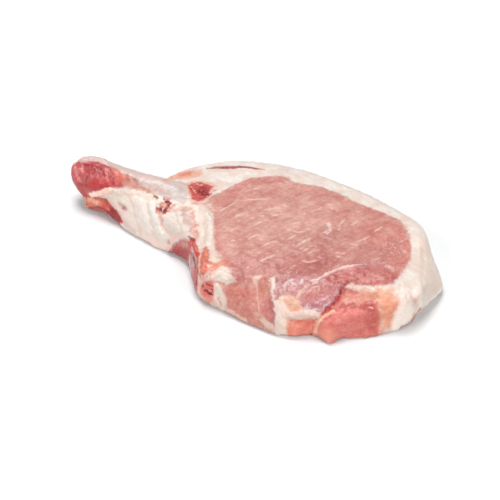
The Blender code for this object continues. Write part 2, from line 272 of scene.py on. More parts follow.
@dataclass(frozen=True)
class Patch(Stroke):
    """A patch: its path is its outline as the camera sees it, its radius how far the edge fades."""

    def near(self, points: np.ndarray, spine: np.ndarray) -> np.ndarray:
        """Return which points the patch may reach: any that the camera sees."""
        return np.ones(len(points), bool)

    def weight(self, skin: Skin, spine: np.ndarray) -> np.ndarray:
        """Return how strongly the patch acts at points, from 0 to 1.

        Args:
            skin: The points, as the camera sees them.
            spine: The outline's corners on the surface, which a patch doesn't need.

        Returns:
            One value for each point.
        """
        corners = self.pixels()
        gap = np.full(len(skin.pixels), np.inf)
        crossings = np.zeros(len(skin.pixels), int)
        for start, end in zip(corners, np.roll(corners, -1, axis=0)):
            ahead = end - start
            offset = skin.pixels - start
            share = np.clip(offset @ ahead / (ahead @ ahead), 0.0, 1.0)
            gap = np.minimum(gap, np.hypot(*(offset - share[:, None] * ahead).T))
            level = (start[1] > skin.pixels[:, 1]) != (end[1] > skin.pixels[:, 1])
            slope = ahead[0] / ahead[1] if ahead[1] else 0.0
            crossings += level & (offset[:, 0] < slope * offset[:, 1])
        inward = np.where(crossings % 2 == 1, gap, -gap) / PIXELS_PER_MM
        inward += self.ragged * edge_unevenness(skin.points)
        return smoothstep(0.5 + inward / (2.0 * self.radius)) * skin.seen


@dataclass
class Lattice:
    """Evenly spaced points that fill the chop's box and some room round it."""

    pitch: float
    room: float = 7.0          # beyond the chop's box, on every side
    low: np.ndarray = field(init=False)
    shape: tuple[int, int, int] = field(init=False)

    def __post_init__(self) -> None:
        """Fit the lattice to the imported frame."""
        boxes = np.array([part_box(node) for node in frame["nodes"]]) / MM
        self.low = boxes[:, 0].min(axis=0) - self.room
        size = boxes[:, 1].max(axis=0) + self.room - self.low
        self.shape = tuple(int(math.ceil(side / self.pitch)) + 1 for side in size)

    def level_set(self, points: np.ndarray, corners: np.ndarray, reach: float) -> Arrays:
        """Measure the signed distance round a closed mesh.

        Args:
            points: The mesh's points.
            corners: Its faces, all with three or all with four corners.
            reach: How far from the surface distances are measured.

        Returns:
            The lattice index of a block's first value, and the block.
        """
        side = "triangles" if corners.shape[1] == 3 else "quads"
        grid = openvdb.FloatGrid.createLevelSetFromPolygons(
            (points - self.low).astype(np.float32), **{side: corners.astype(np.uint32)},
            transform=openvdb.createLinearTransform(voxelSize=self.pitch),
            halfWidth=reach / self.pitch)
        low, high = grid.evalActiveVoxelBoundingBox()
        block = np.empty([top - base + 1 for base, top in zip(low, high)], np.float32)
        grid.copyToArray(block, ijk=low)
        return np.array(low), block

    @staticmethod
    def window(corner: np.ndarray, block: np.ndarray) -> tuple[slice, ...]:
        """Return where a block lies on the full lattice."""
        return tuple(slice(low, low + side) for low, side in zip(corner, block.shape))

    def spread(self, corner: np.ndarray, block: np.ndarray, beyond: float) -> np.ndarray:
        """Put a block in its place on the full lattice, with a value beyond it.

        Args:
            corner: The lattice index of the block's first value.
            block: The values.
            beyond: The value outside the block.

        Returns:
            One value for each lattice point.
        """
        full = np.full(self.shape, beyond, np.float32)
        full[self.window(corner, block)] = block
        return full

    def sample(self, corner: np.ndarray, block: np.ndarray, points: np.ndarray,
               beyond: float) -> np.ndarray:
        """Read a block at any points by trilinear blending.

        Args:
            corner: The lattice index of the block's first value.
            block: The values.
            points: Points in space, one a row.
            beyond: The value outside the block.

        Returns:
            One value for each point.
        """
        place = (points - self.low) / self.pitch - corner
        limit = np.array(block.shape) - LAST_CELL
        inside = np.all((place >= 0.0) & (place <= limit), axis=1)
        place = np.clip(place, 0.0, limit)
        cell = place.astype(int)
        share = place - cell
        total = np.zeros(len(points))
        for step in np.ndindex(2, 2, 2):
            spot = cell + step
            part = np.prod(np.where(step, share, 1.0 - share), axis=1)
            total += part * block[spot[:, 0], spot[:, 1], spot[:, 2]]
        return np.where(inside, total, beyond)

    def surface(self, values: np.ndarray, level: float, stride: int = 1) -> Arrays:
        """Mesh the place where a full block of values crosses a level.

        Args:
            values: One value for each lattice point.
            level: The level to mesh.
            stride: How many lattice points a mesh step takes.

        Returns:
            Points, and faces of four corners that face the higher values.
        """
        grid = openvdb.FloatGrid(float(values.max()))
        grid.copyFromArray(np.ascontiguousarray(values[::stride, ::stride, ::stride], np.float32))
        points, quads = grid.convertToQuads(isovalue=level)
        return points.astype(float) * self.pitch * stride + self.low, quads.astype(int)


def blurred(values: np.ndarray, width: float) -> np.ndarray:
    """Blur a block of values.

    Args:
        values: The block.
        width: The blur's deviation, in lattice steps.

    Returns:
        The blurred block.
    """
    reach = int(math.ceil(BLUR_REACH * width))
    kernel = np.exp(-0.5 * (np.arange(-reach, reach + 1) / width) ** 2).astype(np.float32)
    kernel /= kernel.sum()
    for axis in range(3):
        pad = [(reach, reach) if axis == side else (0, 0) for side in range(3)]
        padded = np.pad(values, pad, mode="edge")
        total = np.zeros_like(values)
        for step, share in enumerate(kernel):
            window = [slice(None)] * 3
            window[axis] = slice(step, step + values.shape[axis])
            total += share * padded[tuple(window)]
        values = total
    return values


def add_object(name: str, data: bpy.types.ID) -> bpy.types.Object:
    """Add an object that shows some data to the scene.

    Args:
        name: The object's name.
        data: Its mesh, light or camera.

    Returns:
        The object.
    """
    item = bpy.data.objects.new(name, data)
    bpy.context.scene.collection.objects.link(item)
    return item


def mesh_object(name: str, points: np.ndarray, faces: Iterable) -> bpy.types.Object:
    """Add an object made of faces between points that are in millimetres.

    Args:
        name: The object's name.
        points: The points, one a row.
        faces: The numbers of each face's points.

    Returns:
        The object.
    """
    mesh = bpy.data.meshes.new(name)
    mesh.from_pydata((points * MM).tolist(), [], np.asarray(faces).tolist())
    return add_object(name, mesh)


def mesh_vectors(mesh: bpy.types.Mesh, name: str) -> np.ndarray:
    """Return one vector of each of a mesh's vertices.

    Args:
        mesh: The mesh.
        name: The vector: co or normal.

    Returns:
        The vectors, one a row.
    """
    flat = np.empty(len(mesh.vertices) * 3, np.float32)
    mesh.vertices.foreach_get(name, flat)
    return flat.reshape(-1, 3).astype(float)


def applied(item: bpy.types.Object) -> None:
    """Turn an object's modifiers into plain mesh.

    Args:
        item: The object.
    """
    evaluated = item.evaluated_get(bpy.context.evaluated_depsgraph_get())
    mesh = bpy.data.meshes.new_from_object(evaluated)
    item.modifiers.clear()
    old = item.data
    item.data = mesh
    bpy.data.meshes.remove(old)


def boolean(item: bpy.types.Object, operation: str, cutter: bpy.types.Object) -> None:
    """Apply a Boolean to an object's mesh.

    Args:
        item: The object.
        operation: INTERSECT or DIFFERENCE.
        cutter: The other object.
    """
    modifier = item.modifiers.new(operation.lower(), "BOOLEAN")
    modifier.operation = operation
    modifier.solver = "MANIFOLD"
    modifier.object = cutter
    applied(item)


def drop_crumbs(item: bpy.types.Object) -> None:
    """Remove the loose shells round an object's largest one.

    Args:
        item: The object.
    """
    shape = bmesh.new()
    shape.from_mesh(item.data)
    left = set(shape.faces)
    shells = []
    while left:
        shell = [left.pop()]
        for face in shell:
            for near in {other for edge in face.edges for other in edge.link_faces} & left:
                left.remove(near)
                shell.append(near)
        shells.append(shell)
    shells.sort(key=len)
    bmesh.ops.delete(shape, geom=[face for shell in shells[:-1] for face in shell],
                     context="FACES")
    shape.to_mesh(item.data)
    shape.free()


@dataclass(frozen=True)
class Lamp:
    """A square soft light that points at the chop; place and size are in metres."""

    place: tuple[float, float, float]
    size: float
    watts: float

    def build(self, name: str) -> None:
        """Add the light to the scene.

        Args:
            name: The light's name.
        """
        lamp = bpy.data.lights.new(name, "AREA")
        lamp.size = self.size
        lamp.energy = self.watts
        holder = add_object(name, lamp)
        holder.location = self.place
        holder.rotation_euler = (-Vector(self.place)).to_track_quat("-Z", "Y").to_euler()


@dataclass
class Studio:
    """The camera at the photograph's angle, the soft lights and the pale floor."""

    elevation: float = 38.0         # degrees above the horizon
    distance: float = 756.0         # from the target to the camera
    target: tuple[float, float, float] = (-0.6, 8.7, 0.0)
    lens: float = 120.0
    sensor: float = 36.0
    nearest: float = 10.0           # what is nearer to the camera isn't shown
    picture: int = 500              # pixels on each side of the photograph
    first_seen: float = -0.05       # how squarely a point faces the camera when it first shows
    fully_seen: float = 0.15        # and when marks on it are at full strength
    lift: float = 0.3               # how far off the surface a line of sight starts
    floor_size: float = 6000.0
    floor_level: float = -0.2
    floor_colour: tuple[float, float, float, float] = (0.775, 0.785, 0.79, 1.0)
    floor_roughness: float = 0.8
    sky: float = 0.21               # strength of the even light from all round
    overhead: Lamp = Lamp((-0.16, 0.44, 1.58), 0.8, 22.7)
    left_front: Lamp = Lamp((-1.04, -1.00, 1.05), 0.8, 14.8)
    right_front: Lamp = Lamp((1.04, -0.96, 1.05), 0.8, 12.8)

    def eye(self) -> tuple[Vector, Vector, Vector]:
        """Return where the camera is, where it looks and which way is up in it.

        Returns:
            The camera's place, and two directions.
        """
        tilt = math.radians(self.elevation)
        ahead = Vector((0.0, math.cos(tilt), -math.sin(tilt)))
        upward = Vector((0.0, math.sin(tilt), math.cos(tilt)))
        return Vector(self.target) - ahead * self.distance, ahead, upward

    def reach(self) -> float:
        """Return how many pixels stand for a slope of one."""
        return self.lens / self.sensor * self.picture

    def ray(self, pixel: np.ndarray) -> tuple[Vector, Vector]:
        """Return the start and the direction of the ray through a pixel.

        Args:
            pixel: The pixel's x and y in the photograph.

        Returns:
            The camera's place, and a direction.
        """
        place, ahead, upward = self.eye()
        across = (pixel[0] - self.picture / 2) / self.reach()
        down = (pixel[1] - self.picture / 2) / self.reach()
        return place, (ahead + Vector((across, 0.0, 0.0)) - upward * down).normalized()

    def view(self, item: bpy.types.Object, tree: BVHTree) -> Skin:
        """Return a mesh's points, with their pixels and which of them the camera sees.

        Args:
            item: The object.
            tree: The surface that may hide its points.

        Returns:
            The points.
        """
        place, ahead, upward = (np.array(side) for side in self.eye())
        points = mesh_vectors(item.data, "co") / MM
        normals = mesh_vectors(item.data, "normal")
        offset = points - place
        depth = offset @ ahead
        pixels = np.column_stack([offset[:, 0], -(offset @ upward)]) / depth[:, None]
        towards = -offset / np.linalg.norm(offset, axis=1)[:, None]
        facing = np.sum(normals * towards, axis=1)
        seen = smoothstep((facing - self.first_seen) / (self.fully_seen - self.first_seen))
        start = points + normals * self.lift + towards * self.lift
        for spot in np.flatnonzero(seen):
            if tree.ray_cast(start[spot], towards[spot])[0] is not None:
                seen[spot] = 0.0
        return Skin(points, pixels * self.reach() + self.picture / 2, seen)

    def build(self) -> None:
        """Add the camera, the lights, the world and the floor."""
        camera = bpy.data.cameras.new("camera")
        camera.lens = self.lens
        camera.sensor_width = self.sensor
        camera.clip_start = self.nearest * MM
        holder = add_object("camera", camera)
        holder.location = self.eye()[0] * MM
        holder.rotation_euler = (math.pi / 2 - math.radians(self.elevation), 0.0, 0.0)
        bpy.context.scene.camera = holder
        bpy.context.scene.view_settings.view_transform = "Standard"
        self.overhead.build("overhead")
        self.left_front.build("left_front")
        self.right_front.build("right_front")
        world = bpy.data.worlds.new("studio")
        world.use_nodes = True
        backdrop = world.node_tree.nodes["Background"]
        backdrop.inputs["Color"].default_value = (1.0, 1.0, 1.0, 1.0)
        backdrop.inputs["Strength"].default_value = self.sky
        bpy.context.scene.world = world
        self.floor()

    def floor(self) -> None:
        """Add the pale floor."""
        half = self.floor_size / 2
        corners = np.array([(-half, -half), (half, -half), (half, half), (-half, half)])
        points = np.column_stack([corners, np.full(4, self.floor_level)])
        ground = mesh_object("floor", points, [(0, 1, 2, 3)])
        graph = Graph("floor")
        ground.data.materials.append(graph.finish({
            "Base Color": self.floor_colour, "Roughness": self.floor_roughness,
            "Specular IOR Level": 0.0}))


class Socket:
    """A value in a node tree that takes part in Python expressions."""

    def __init__(self, tree: "Tree", link: bpy.types.NodeSocket) -> None:
        """Wrap an output socket of a tree."""
        self.tree = tree
        self.link = link

    def maths(self, operation: str, *values: Any, clamp: bool = False) -> "Socket":
        """Return the result of a Math node on values."""
        settings = {"operation": operation, "use_clamp": clamp}
        return self.tree.node("ShaderNodeMath", settings, dict(enumerate(values)))

    def __add__(self, other: Any) -> "Socket":
        """Add."""
        return self.maths("ADD", self, other)

    __radd__ = __add__

    def __sub__(self, other: Any) -> "Socket":
        """Subtract."""
        return self.maths("SUBTRACT", self, other)

    def __mul__(self, other: Any) -> "Socket":
        """Multiply."""
        return self.maths("MULTIPLY", self, other)

    def beside(self, name: str) -> "Socket":
        """Return another output of the same node."""
        return Socket(self.tree, self.link.node.outputs[name])

    def clamped(self) -> "Socket":
        """Hold the value between 0 and 1."""
        return self.maths("ADD", self, 0.0, clamp=True)

    def step(self, low: float, high: float) -> "Socket":
        """Ease from 0 at low to 1 at high.

        Args:
            low: Where it starts.
            high: Where it ends.

        Returns:
            The eased value.
        """
        settings = {"interpolation_type": "SMOOTHSTEP"}
        values = {"Value": self, "From Min": low, "From Max": high}
        return self.tree.node("ShaderNodeMapRange", settings, values)


class Tree:
    """A node tree whose values are built up by expressions."""

    def __init__(self, group: bpy.types.NodeTree) -> None:
        """Wrap a tree."""
        self.group = group

    def plug(self, socket: bpy.types.NodeSocket, value: Any) -> None:
        """Link a value to an input socket, or set it.

        Args:
            socket: The input socket.
            value: A socket of this tree, or a plain value.
        """
        if isinstance(value, Socket):
            self.group.links.new(value.link, socket)
        else:
            socket.default_value = value

    def node(self, kind: str, settings: dict[str, Any], values: dict[Any, Any],
             output: int | str = 0) -> Socket:
        """Add a node.

        Args:
            kind: The node's type.
            settings: Its properties, which are set first.
            values: What its input sockets get, by name or number.
            output: The output that is returned.

        Returns:
            The node's output.
        """
        made = self.group.nodes.new(kind)
        for name, value in settings.items():
            setattr(made, name, value)
        for name, value in values.items():
            self.plug(made.inputs[name], value)
        return Socket(self, made.outputs[output])


class Graph(Tree):
    """The node tree of one material."""

    def __init__(self, name: str) -> None:
        """Make a material with its Principled shader.

        Args:
            name: The material's name.
        """
        self.material = bpy.data.materials.new(name)
        self.material.use_nodes = True
        super().__init__(self.material.node_tree)

    def place(self) -> Socket:
        """Return where on the object a point is."""
        return self.node("ShaderNodeTexCoord", {}, {}, "Object")

    def mix(self, share: Any, one: Any, other: Any) -> Socket:
        """Blend two colours; share 0 gives one and 1 gives the other."""
        return self.node("ShaderNodeMix", {"data_type": "RGBA"}, {0: share, 6: one, 7: other}, 2)

    def tinted(self, colour: Socket, filter_colour: tuple[float, float, float]) -> Socket:
        """Multiply a colour by a filter's."""
        return self.node("ShaderNodeVectorMath", {"operation": "MULTIPLY"},
                         {0: colour, 1: filter_colour})

    def attribute(self, name: str, output: str = "Fac") -> Socket:
        """Read a named attribute of the piece."""
        return self.node("ShaderNodeAttribute", {"attribute_name": name}, {}, output)

    def noise(self, place: Socket, size: float, detail: float = 2.0) -> Socket:
        """Return cloudy noise round 0 whose features are size millimetres wide."""
        values = {"Vector": place, "Scale": 1.0 / (size * MM), "Detail": detail}
        return self.node("ShaderNodeTexNoise", {}, values) - 0.5

    def turned(self, place: Socket, degrees: float, stretch: float) -> Socket:
        """Return coordinates turned about Z, whose pattern is drawn out along X.

        Args:
            place: The coordinates.
            degrees: How far the pattern is turned.
            stretch: How much longer than wide its features are.

        Returns:
            The coordinates.
        """
        flat = self.node("ShaderNodeMapping", {"vector_type": "POINT"},
                         {"Vector": place, "Rotation": (0.0, 0.0, math.radians(-degrees))})
        return self.tinted(flat, (1.0 / stretch, 1.0, 1.0))

    def finish(self, values: dict[str, Any]) -> bpy.types.Material:
        """Set the shader's sockets and return the material.

        Args:
            values: What the sockets get, by name.

        Returns:
            The material.
        """
        for name, value in values.items():
            self.plug(self.group.nodes["Principled BSDF"].inputs[name], value)
        return self.material


CREAM = (238, 198, 183)        # the fat threads that run through the lean
GLINT = (252, 238, 234)        # light caught by juice on the cut face
ROSE = (238, 200, 196)         # what the beads of juice show of the flesh under them
DUSKY = (0.84, 0.69, 0.67)     # what filters a tissue's colour where it is darkest
PALE = (1.12, 1.23, 1.20)      # and where it is palest
REDNESS = 1.25                 # the ratio of red to green from which a surface counts as lean
REDNESS_FADE = 0.7             # how much more red makes it all lean
TINT_SEED = 31                 # the first tissue's seed for the patches of its colour
BORDER_SEEDS = (21, 22, 23)    # what the painted borders between tissues wander by
BORDER_WAVE = 2.6              # with this wavelength
BORDER_SWAY = 0.3              # and about this far
MARGIN = 0.5                   # how far inside the measured reach relief is pressed in
FAR = 1.0                      # how far beyond that reach a tissue counts where it wasn't measured
PATCHINESS = 0.6               # how clearly the patches of a blush stand apart
CREASE = 60.0                  # the angle from which an edge is sharp, in degrees
UNEVENNESS = ((11, 17.0, 0.22), (12, 5.5, 0.11), (13, 2.1, 0.06))    # seed, wavelength, height
LANDING_LEVELS = range(0, 26, 2)    # heights at which a ray that misses the chop is tried


@dataclass(frozen=True)
class Finish:
    """How one tissue looks: its colours, and which way its fibres run."""

    kind: Kind
    colour: Colour
    blush: Colour              # the colour that it drifts to in patches
    blush_size: float = 6.0
    blush_share: float = 0.5
    heading: float = 40.0      # the fibres' direction on the ground, in degrees from X
    marbling: float = 0.0      # how strongly fine fat shows between the fibres

    def tint(self, points: np.ndarray, seed: int) -> np.ndarray:
        """Return the tissue's colour at points, before any mark.

        Args:
            points: Points in space, one a row.
            seed: What the patches are drawn from.

        Returns:
            One colour a row.
        """
        patch = smoothstep(Ripple(seed, self.blush_size)(points) * PATCHINESS + 0.5)[:, None]
        patch = patch * self.blush_share
        return linear(self.colour) * (1.0 - patch) + linear(self.blush) * patch

    def material(self, name: str) -> bpy.types.Material:
        """Return the moist flesh material, which reads the painted attributes.

        Args:
            name: The material's name.

        Returns:
            The material.
        """
        graph = Graph(name)
        place = graph.place()
        lean = graph.attribute("lean")
        wet = graph.attribute("wet")
        fibre = graph.noise(graph.turned(place, self.heading, stretch=5.0), size=0.55, detail=3.0)
        band = graph.noise(graph.turned(place, self.heading, stretch=3.0), size=2.4)
        mottle = graph.noise(place, size=1.3, detail=4.0)
        cloud = graph.noise(place, size=7.0)
        crumb = graph.noise(place, size=0.5, detail=1.0)
        tint = graph.attribute("tint", "Color")
        tone = 0.5 + (fibre * 0.9 + band * 1.5 + mottle * 0.9 + cloud * 0.7) * lean
        tone = tone + cloud * 0.35 + crumb * 0.3
        tint = graph.mix(tone.clamped(), graph.tinted(tint, DUSKY), graph.tinted(tint, PALE))
        streak = graph.noise(graph.turned(place, self.heading, stretch=9.0), size=0.8, detail=1.0)
        streak = streak.step(0.13, 0.20)
        streak = streak * (cloud + mottle * 0.5).step(-0.06, 0.08) * lean * self.marbling
        thread = (graph.attribute("thread") + crumb * 0.9).step(0.0, 0.7)
        tint = graph.mix((streak + thread).clamped() * 0.8, tint, (*linear(CREAM), 1.0))
        # Painted highlight: glints mixed into the base colour where the surface is wet; they also lower
        # the roughness and raise the bump.
        glint = (crumb + mottle * 0.4).step(0.12, 0.18) * wet
        tint = graph.mix(glint * 0.6, tint, (*linear(GLINT), 1.0))
        height = (fibre * lean * 0.5 + mottle * lean * 0.3 + crumb * 0.3
                  + cloud * FOLDS[self.kind] + glint * 0.4 + thread * 0.3)
        bump = graph.node("ShaderNodeBump", {}, {"Height": height, "Strength": 0.6,
                                                 "Distance": 0.4 * MM})
        rough = ROUGHNESS[self.kind] + crumb * 0.2 - wet * 0.08 - glint * 0.15
        return graph.finish({
            "Base Color": tint, "Roughness": rough.clamped(), "Normal": bump,
            "Subsurface Weight": 0.15, "Subsurface Radius": (1.0, 0.45, 0.3),
            "Subsurface Scale": 0.9 * MM, "Coat Weight": 0.1, "Coat Roughness": 0.25,
            "Specular IOR Level": 0.36})


@dataclass(frozen=True)
class Tissue:
    """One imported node, which one piece of the chop stands for."""

    node: str
    finish: Finish

    def measure(self, lattice: Lattice, reach: float) -> Arrays:
        """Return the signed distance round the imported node, as a block on the lattice.

        Args:
            lattice: The lattice.
            reach: How far from the surface it is measured.

        Returns:
            The lattice index of the block's first value, and the block.
        """
        mesh = frame["nodes"][self.node].data
        mesh.calc_loop_triangles()
        corners = np.empty(len(mesh.loop_triangles) * 3, np.int32)
        mesh.loop_triangles.foreach_get("vertices", corners)
        return lattice.level_set(mesh_vectors(mesh, "co") / MM, corners.reshape(-1, 3), reach)


class Body:
    """The solids closed up into one smooth body, from which every piece is cut."""

    def __init__(self, parts: list["Part"], studio: Studio, pitch: float,
                 reach: float = 4.6) -> None:
        """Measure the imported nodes.

        Args:
            parts: The sub-assemblies, in the order in which they are cut and painted.
            studio: The studio whose camera the marks are seen from.
            pitch: The lattice's step.
            reach: How far from a surface its distance is known.
        """
        self.studio = studio
        self.reach = reach
        self.tissues = [tissue for part in parts for tissue in part.tissues()]
        self.marks = [mark for part in parts for mark in part.marks()]
        self.lattice = Lattice(pitch)
        self.blocks = [tissue.measure(self.lattice, reach) for tissue in self.tissues]
        self.field = self.smooth()
        points, quads = self.lattice.surface(self.field, 0.0)
        self.lay_marks(points, quads)
        points, quads = self.lattice.surface(self.carved(), 0.0)
        self.rest = mesh_object("rest", points, quads)
        self.roughen()
        self.lay_marks(mesh_vectors(self.rest.data, "co") / MM, quads)

    def nearest(self, places: Iterable[int]) -> np.ndarray:
        """Return the distance to the nearest of some tissues all over the lattice.

        Args:
            places: The tissues' places in the list.

        Returns:
            One value for each lattice point.
        """
        together = np.full(self.lattice.shape, self.reach, np.float32)
        for place in places:
            window = self.lattice.window(*self.blocks[place])
            together[window] = np.minimum(together[window], self.blocks[place][1])
        return together

    def smooth(self, closing: float = 0.45, softening: float = 1.0) -> np.ndarray:
        """Return the signed distance round all the solids as one smooth body.

        Args:
            closing: Half of the widest gap between solids that is filled.
            softening: The deviation of the blur that takes the facets away.

        Returns:
            One value for each lattice point.
        """
        together = self.nearest(range(len(self.tissues)))
        swollen = self.lattice.level_set(*self.lattice.surface(together, closing), self.reach)
        body = self.lattice.spread(*swollen, self.reach) + closing
        return blurred(body, softening / self.lattice.pitch)

    def lay_marks(self, points: np.ndarray, quads: np.ndarray) -> None:
        """Find where every mark's path meets a surface.

        Args:
            points: The surface's points.
            quads: Its faces of four corners.
        """
        self.tree = BVHTree.FromPolygons(points.tolist(), quads.tolist())
        self.spines = [smooth_path(np.array([self.landing(pixel) for pixel in mark.pixels()]),
                                   pieces=3) for mark in self.marks]

    def landing(self, pixel: np.ndarray) -> Vector:
        """Return the point that a pixel shows, or else the one nearest to its ray.

        Args:
            pixel: The pixel's x and y in the photograph.

        Returns:
            The point on the surface.
        """
        start, heading = self.studio.ray(pixel)
        hit = self.tree.ray_cast(start, heading)[0]
        if hit is None:
            tries = [self.tree.find_nearest(start + heading * ((level - start.z) / heading.z))
                     for level in LANDING_LEVELS]
            hit = min(tries, key=lambda found: found[3])[0]
        return hit

    def carved(self) -> np.ndarray:
        """Return the body with every mark's relief pressed into it.

        Returns:
            One value for each lattice point.
        """
        relief = np.zeros_like(self.field)
        for mark, spine in zip(self.marks, self.spines):
            if not mark.rise:
                continue
            low = (spine.min(axis=0) - mark.reach() - self.lattice.low) / self.lattice.pitch
            high = (spine.max(axis=0) + mark.reach() - self.lattice.low) / self.lattice.pitch
            low = np.maximum(np.floor(low).astype(int), 0)
            high = np.minimum(np.ceil(high).astype(int) + 1, self.lattice.shape)
            window = tuple(slice(first, last) for first, last in zip(low, high))
            spots = np.argwhere(np.abs(self.field[window]) < self.reach - MARGIN) + low
            skin = Skin(spots * self.lattice.pitch + self.lattice.low)
            relief[tuple(spots.T)] += Stroke.weight(mark, skin, spine) * mark.rise
        return self.field - relief

    def roughen(self) -> None:
        """Move the surface in and out by the flesh's own small unevenness."""
        points = mesh_vectors(self.rest.data, "co") / MM
        height = np.zeros(len(points))
        for seed, wavelength, size in UNEVENNESS:
            height += Ripple(seed, wavelength)(points) * size
        points += mesh_vectors(self.rest.data, "normal") * height[:, None]
        points[:, 2] = np.maximum(points[:, 2], 0.0)
        self.rest.data.vertices.foreach_set("co", (points * MM).astype(np.float32).ravel())
        self.rest.data.update()

    def cut(self, tissue: Tissue, overlap: float = 2.4) -> bpy.types.Object:
        """Cut one tissue's closed piece from what is left of the body.

        Args:
            tissue: The tissue.
            overlap: How far the cutter stands outside the body.

        Returns:
            The piece; the last tissue gets all that is left.
        """
        place = self.tissues.index(tissue)
        if place == len(self.tissues) - 1:
            self.rest.name = tissue.node + "_piece"
            drop_crumbs(self.rest)
            return self.rest
        own = self.lattice.spread(*self.blocks[place], self.reach + FAR)
        others = self.nearest(range(place + 1, len(self.tissues)))
        ground = np.maximum((own - others) / 2, self.field - overlap)
        cutter = mesh_object("cutter", *self.lattice.surface(ground, 0.0, stride=2))
        piece = self.rest.copy()
        piece.data = self.rest.data.copy()
        piece.name = tissue.node + "_piece"
        bpy.context.scene.collection.objects.link(piece)
        boolean(piece, "INTERSECT", cutter)
        boolean(self.rest, "DIFFERENCE", cutter)
        bpy.data.objects.remove(cutter)
        drop_crumbs(piece)
        return piece

    def shares(self, points: np.ndarray, blend: float = 0.28) -> np.ndarray:
        """Return how much of each tissue shows at points, one column for each.

        Args:
            points: Points in space, one a row.
            blend: How softly one tissue's colour turns into the next one's.

        Returns:
            A row for each point and a column for each tissue.
        """
        sway = [Ripple(seed, BORDER_WAVE)(points) for seed in BORDER_SEEDS]
        places = points + np.column_stack(sway) * BORDER_SWAY
        gaps = np.column_stack([self.lattice.sample(*block, places, self.reach)
                                for block in self.blocks])
        gaps -= gaps.min(axis=1)[:, None]
        parts = np.exp(-gaps / blend)
        return parts / parts.sum(axis=1)[:, None]

    def paint(self, piece: bpy.types.Object) -> None:
        """Give a piece the attributes that its material reads.

        Args:
            piece: The piece.
        """
        skin = self.studio.view(piece, self.tree)
        shares = self.shares(skin.points).T
        tint = sum(share[:, None] * tissue.finish.tint(skin.points, TINT_SEED + place)
                   for place, (share, tissue) in enumerate(zip(shares, self.tissues)))
        wet = np.zeros(len(skin.points))
        thread = np.full(len(skin.points), -1.0)
        for mark, spine in zip(self.marks, self.spines):
            near = mark.near(skin.points, spine)
            if not near.any():
                continue
            if mark.line:
                share = mark.nearness(skin.points[near], spine) * mark.strength
                thread[near] = np.maximum(thread[near], share)
                continue
            weight = mark.weight(skin.part(near), spine)
            if mark.colour is not None:
                share = (weight * mark.strength)[:, None]
                tint[near] = tint[near] * (1.0 - share) + linear(mark.colour) * share
            wet[near] = np.maximum(wet[near], weight * mark.wet)
        lean = smoothstep((tint[:, 0] / tint[:, 1] - REDNESS) / REDNESS_FADE)
        colours = np.column_stack([tint, np.ones(len(tint))]).astype(np.float32)
        layer = piece.data.attributes.new("tint", "FLOAT_COLOR", "POINT")
        layer.data.foreach_set("color", colours.ravel())
        for name, values in (("lean", lean), ("wet", wet), ("thread", thread)):
            layer = piece.data.attributes.new(name, "FLOAT", "POINT")
            layer.data.foreach_set("value", values.astype(np.float32))


@dataclass(frozen=True)
class Part:
    """A sub-assembly: its fields are its tissues and the marks on it, beneath first."""

    def values(self, kind: type) -> list:
        """Return the fields' values of one kind, in order."""
        held = [getattr(self, item.name) for item in fields(self)]
        return [value for value in held if isinstance(value, kind)]

    def tissues(self) -> list[Tissue]:
        """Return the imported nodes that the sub-assembly stands for."""
        return self.values(Tissue)

    def marks(self) -> list[Stroke]:
        """Return the marks that are laid on the sub-assembly."""
        return self.values(Stroke)

    def build(self, body: Body) -> Objects:
        """Cut the sub-assembly's pieces from the body."""
        return [body.cut(tissue) for tissue in self.tissues()]

    def dress(self, body: Body, pieces: Objects) -> None:
        """Paint the pieces and tie them to the frame.

        Args:
            body: The body that they were cut from.
            pieces: One piece for each tissue.
        """
        for piece, tissue in zip(pieces, self.tissues()):
            body.paint(piece)
            piece.data.materials.clear()
            piece.data.materials.append(tissue.finish.material(tissue.node + "_finish"))
            piece.data.shade_smooth()
            piece.data.set_sharp_from_angle(angle=math.radians(CREASE))
            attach(piece, "root")
            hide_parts(tissue.node)


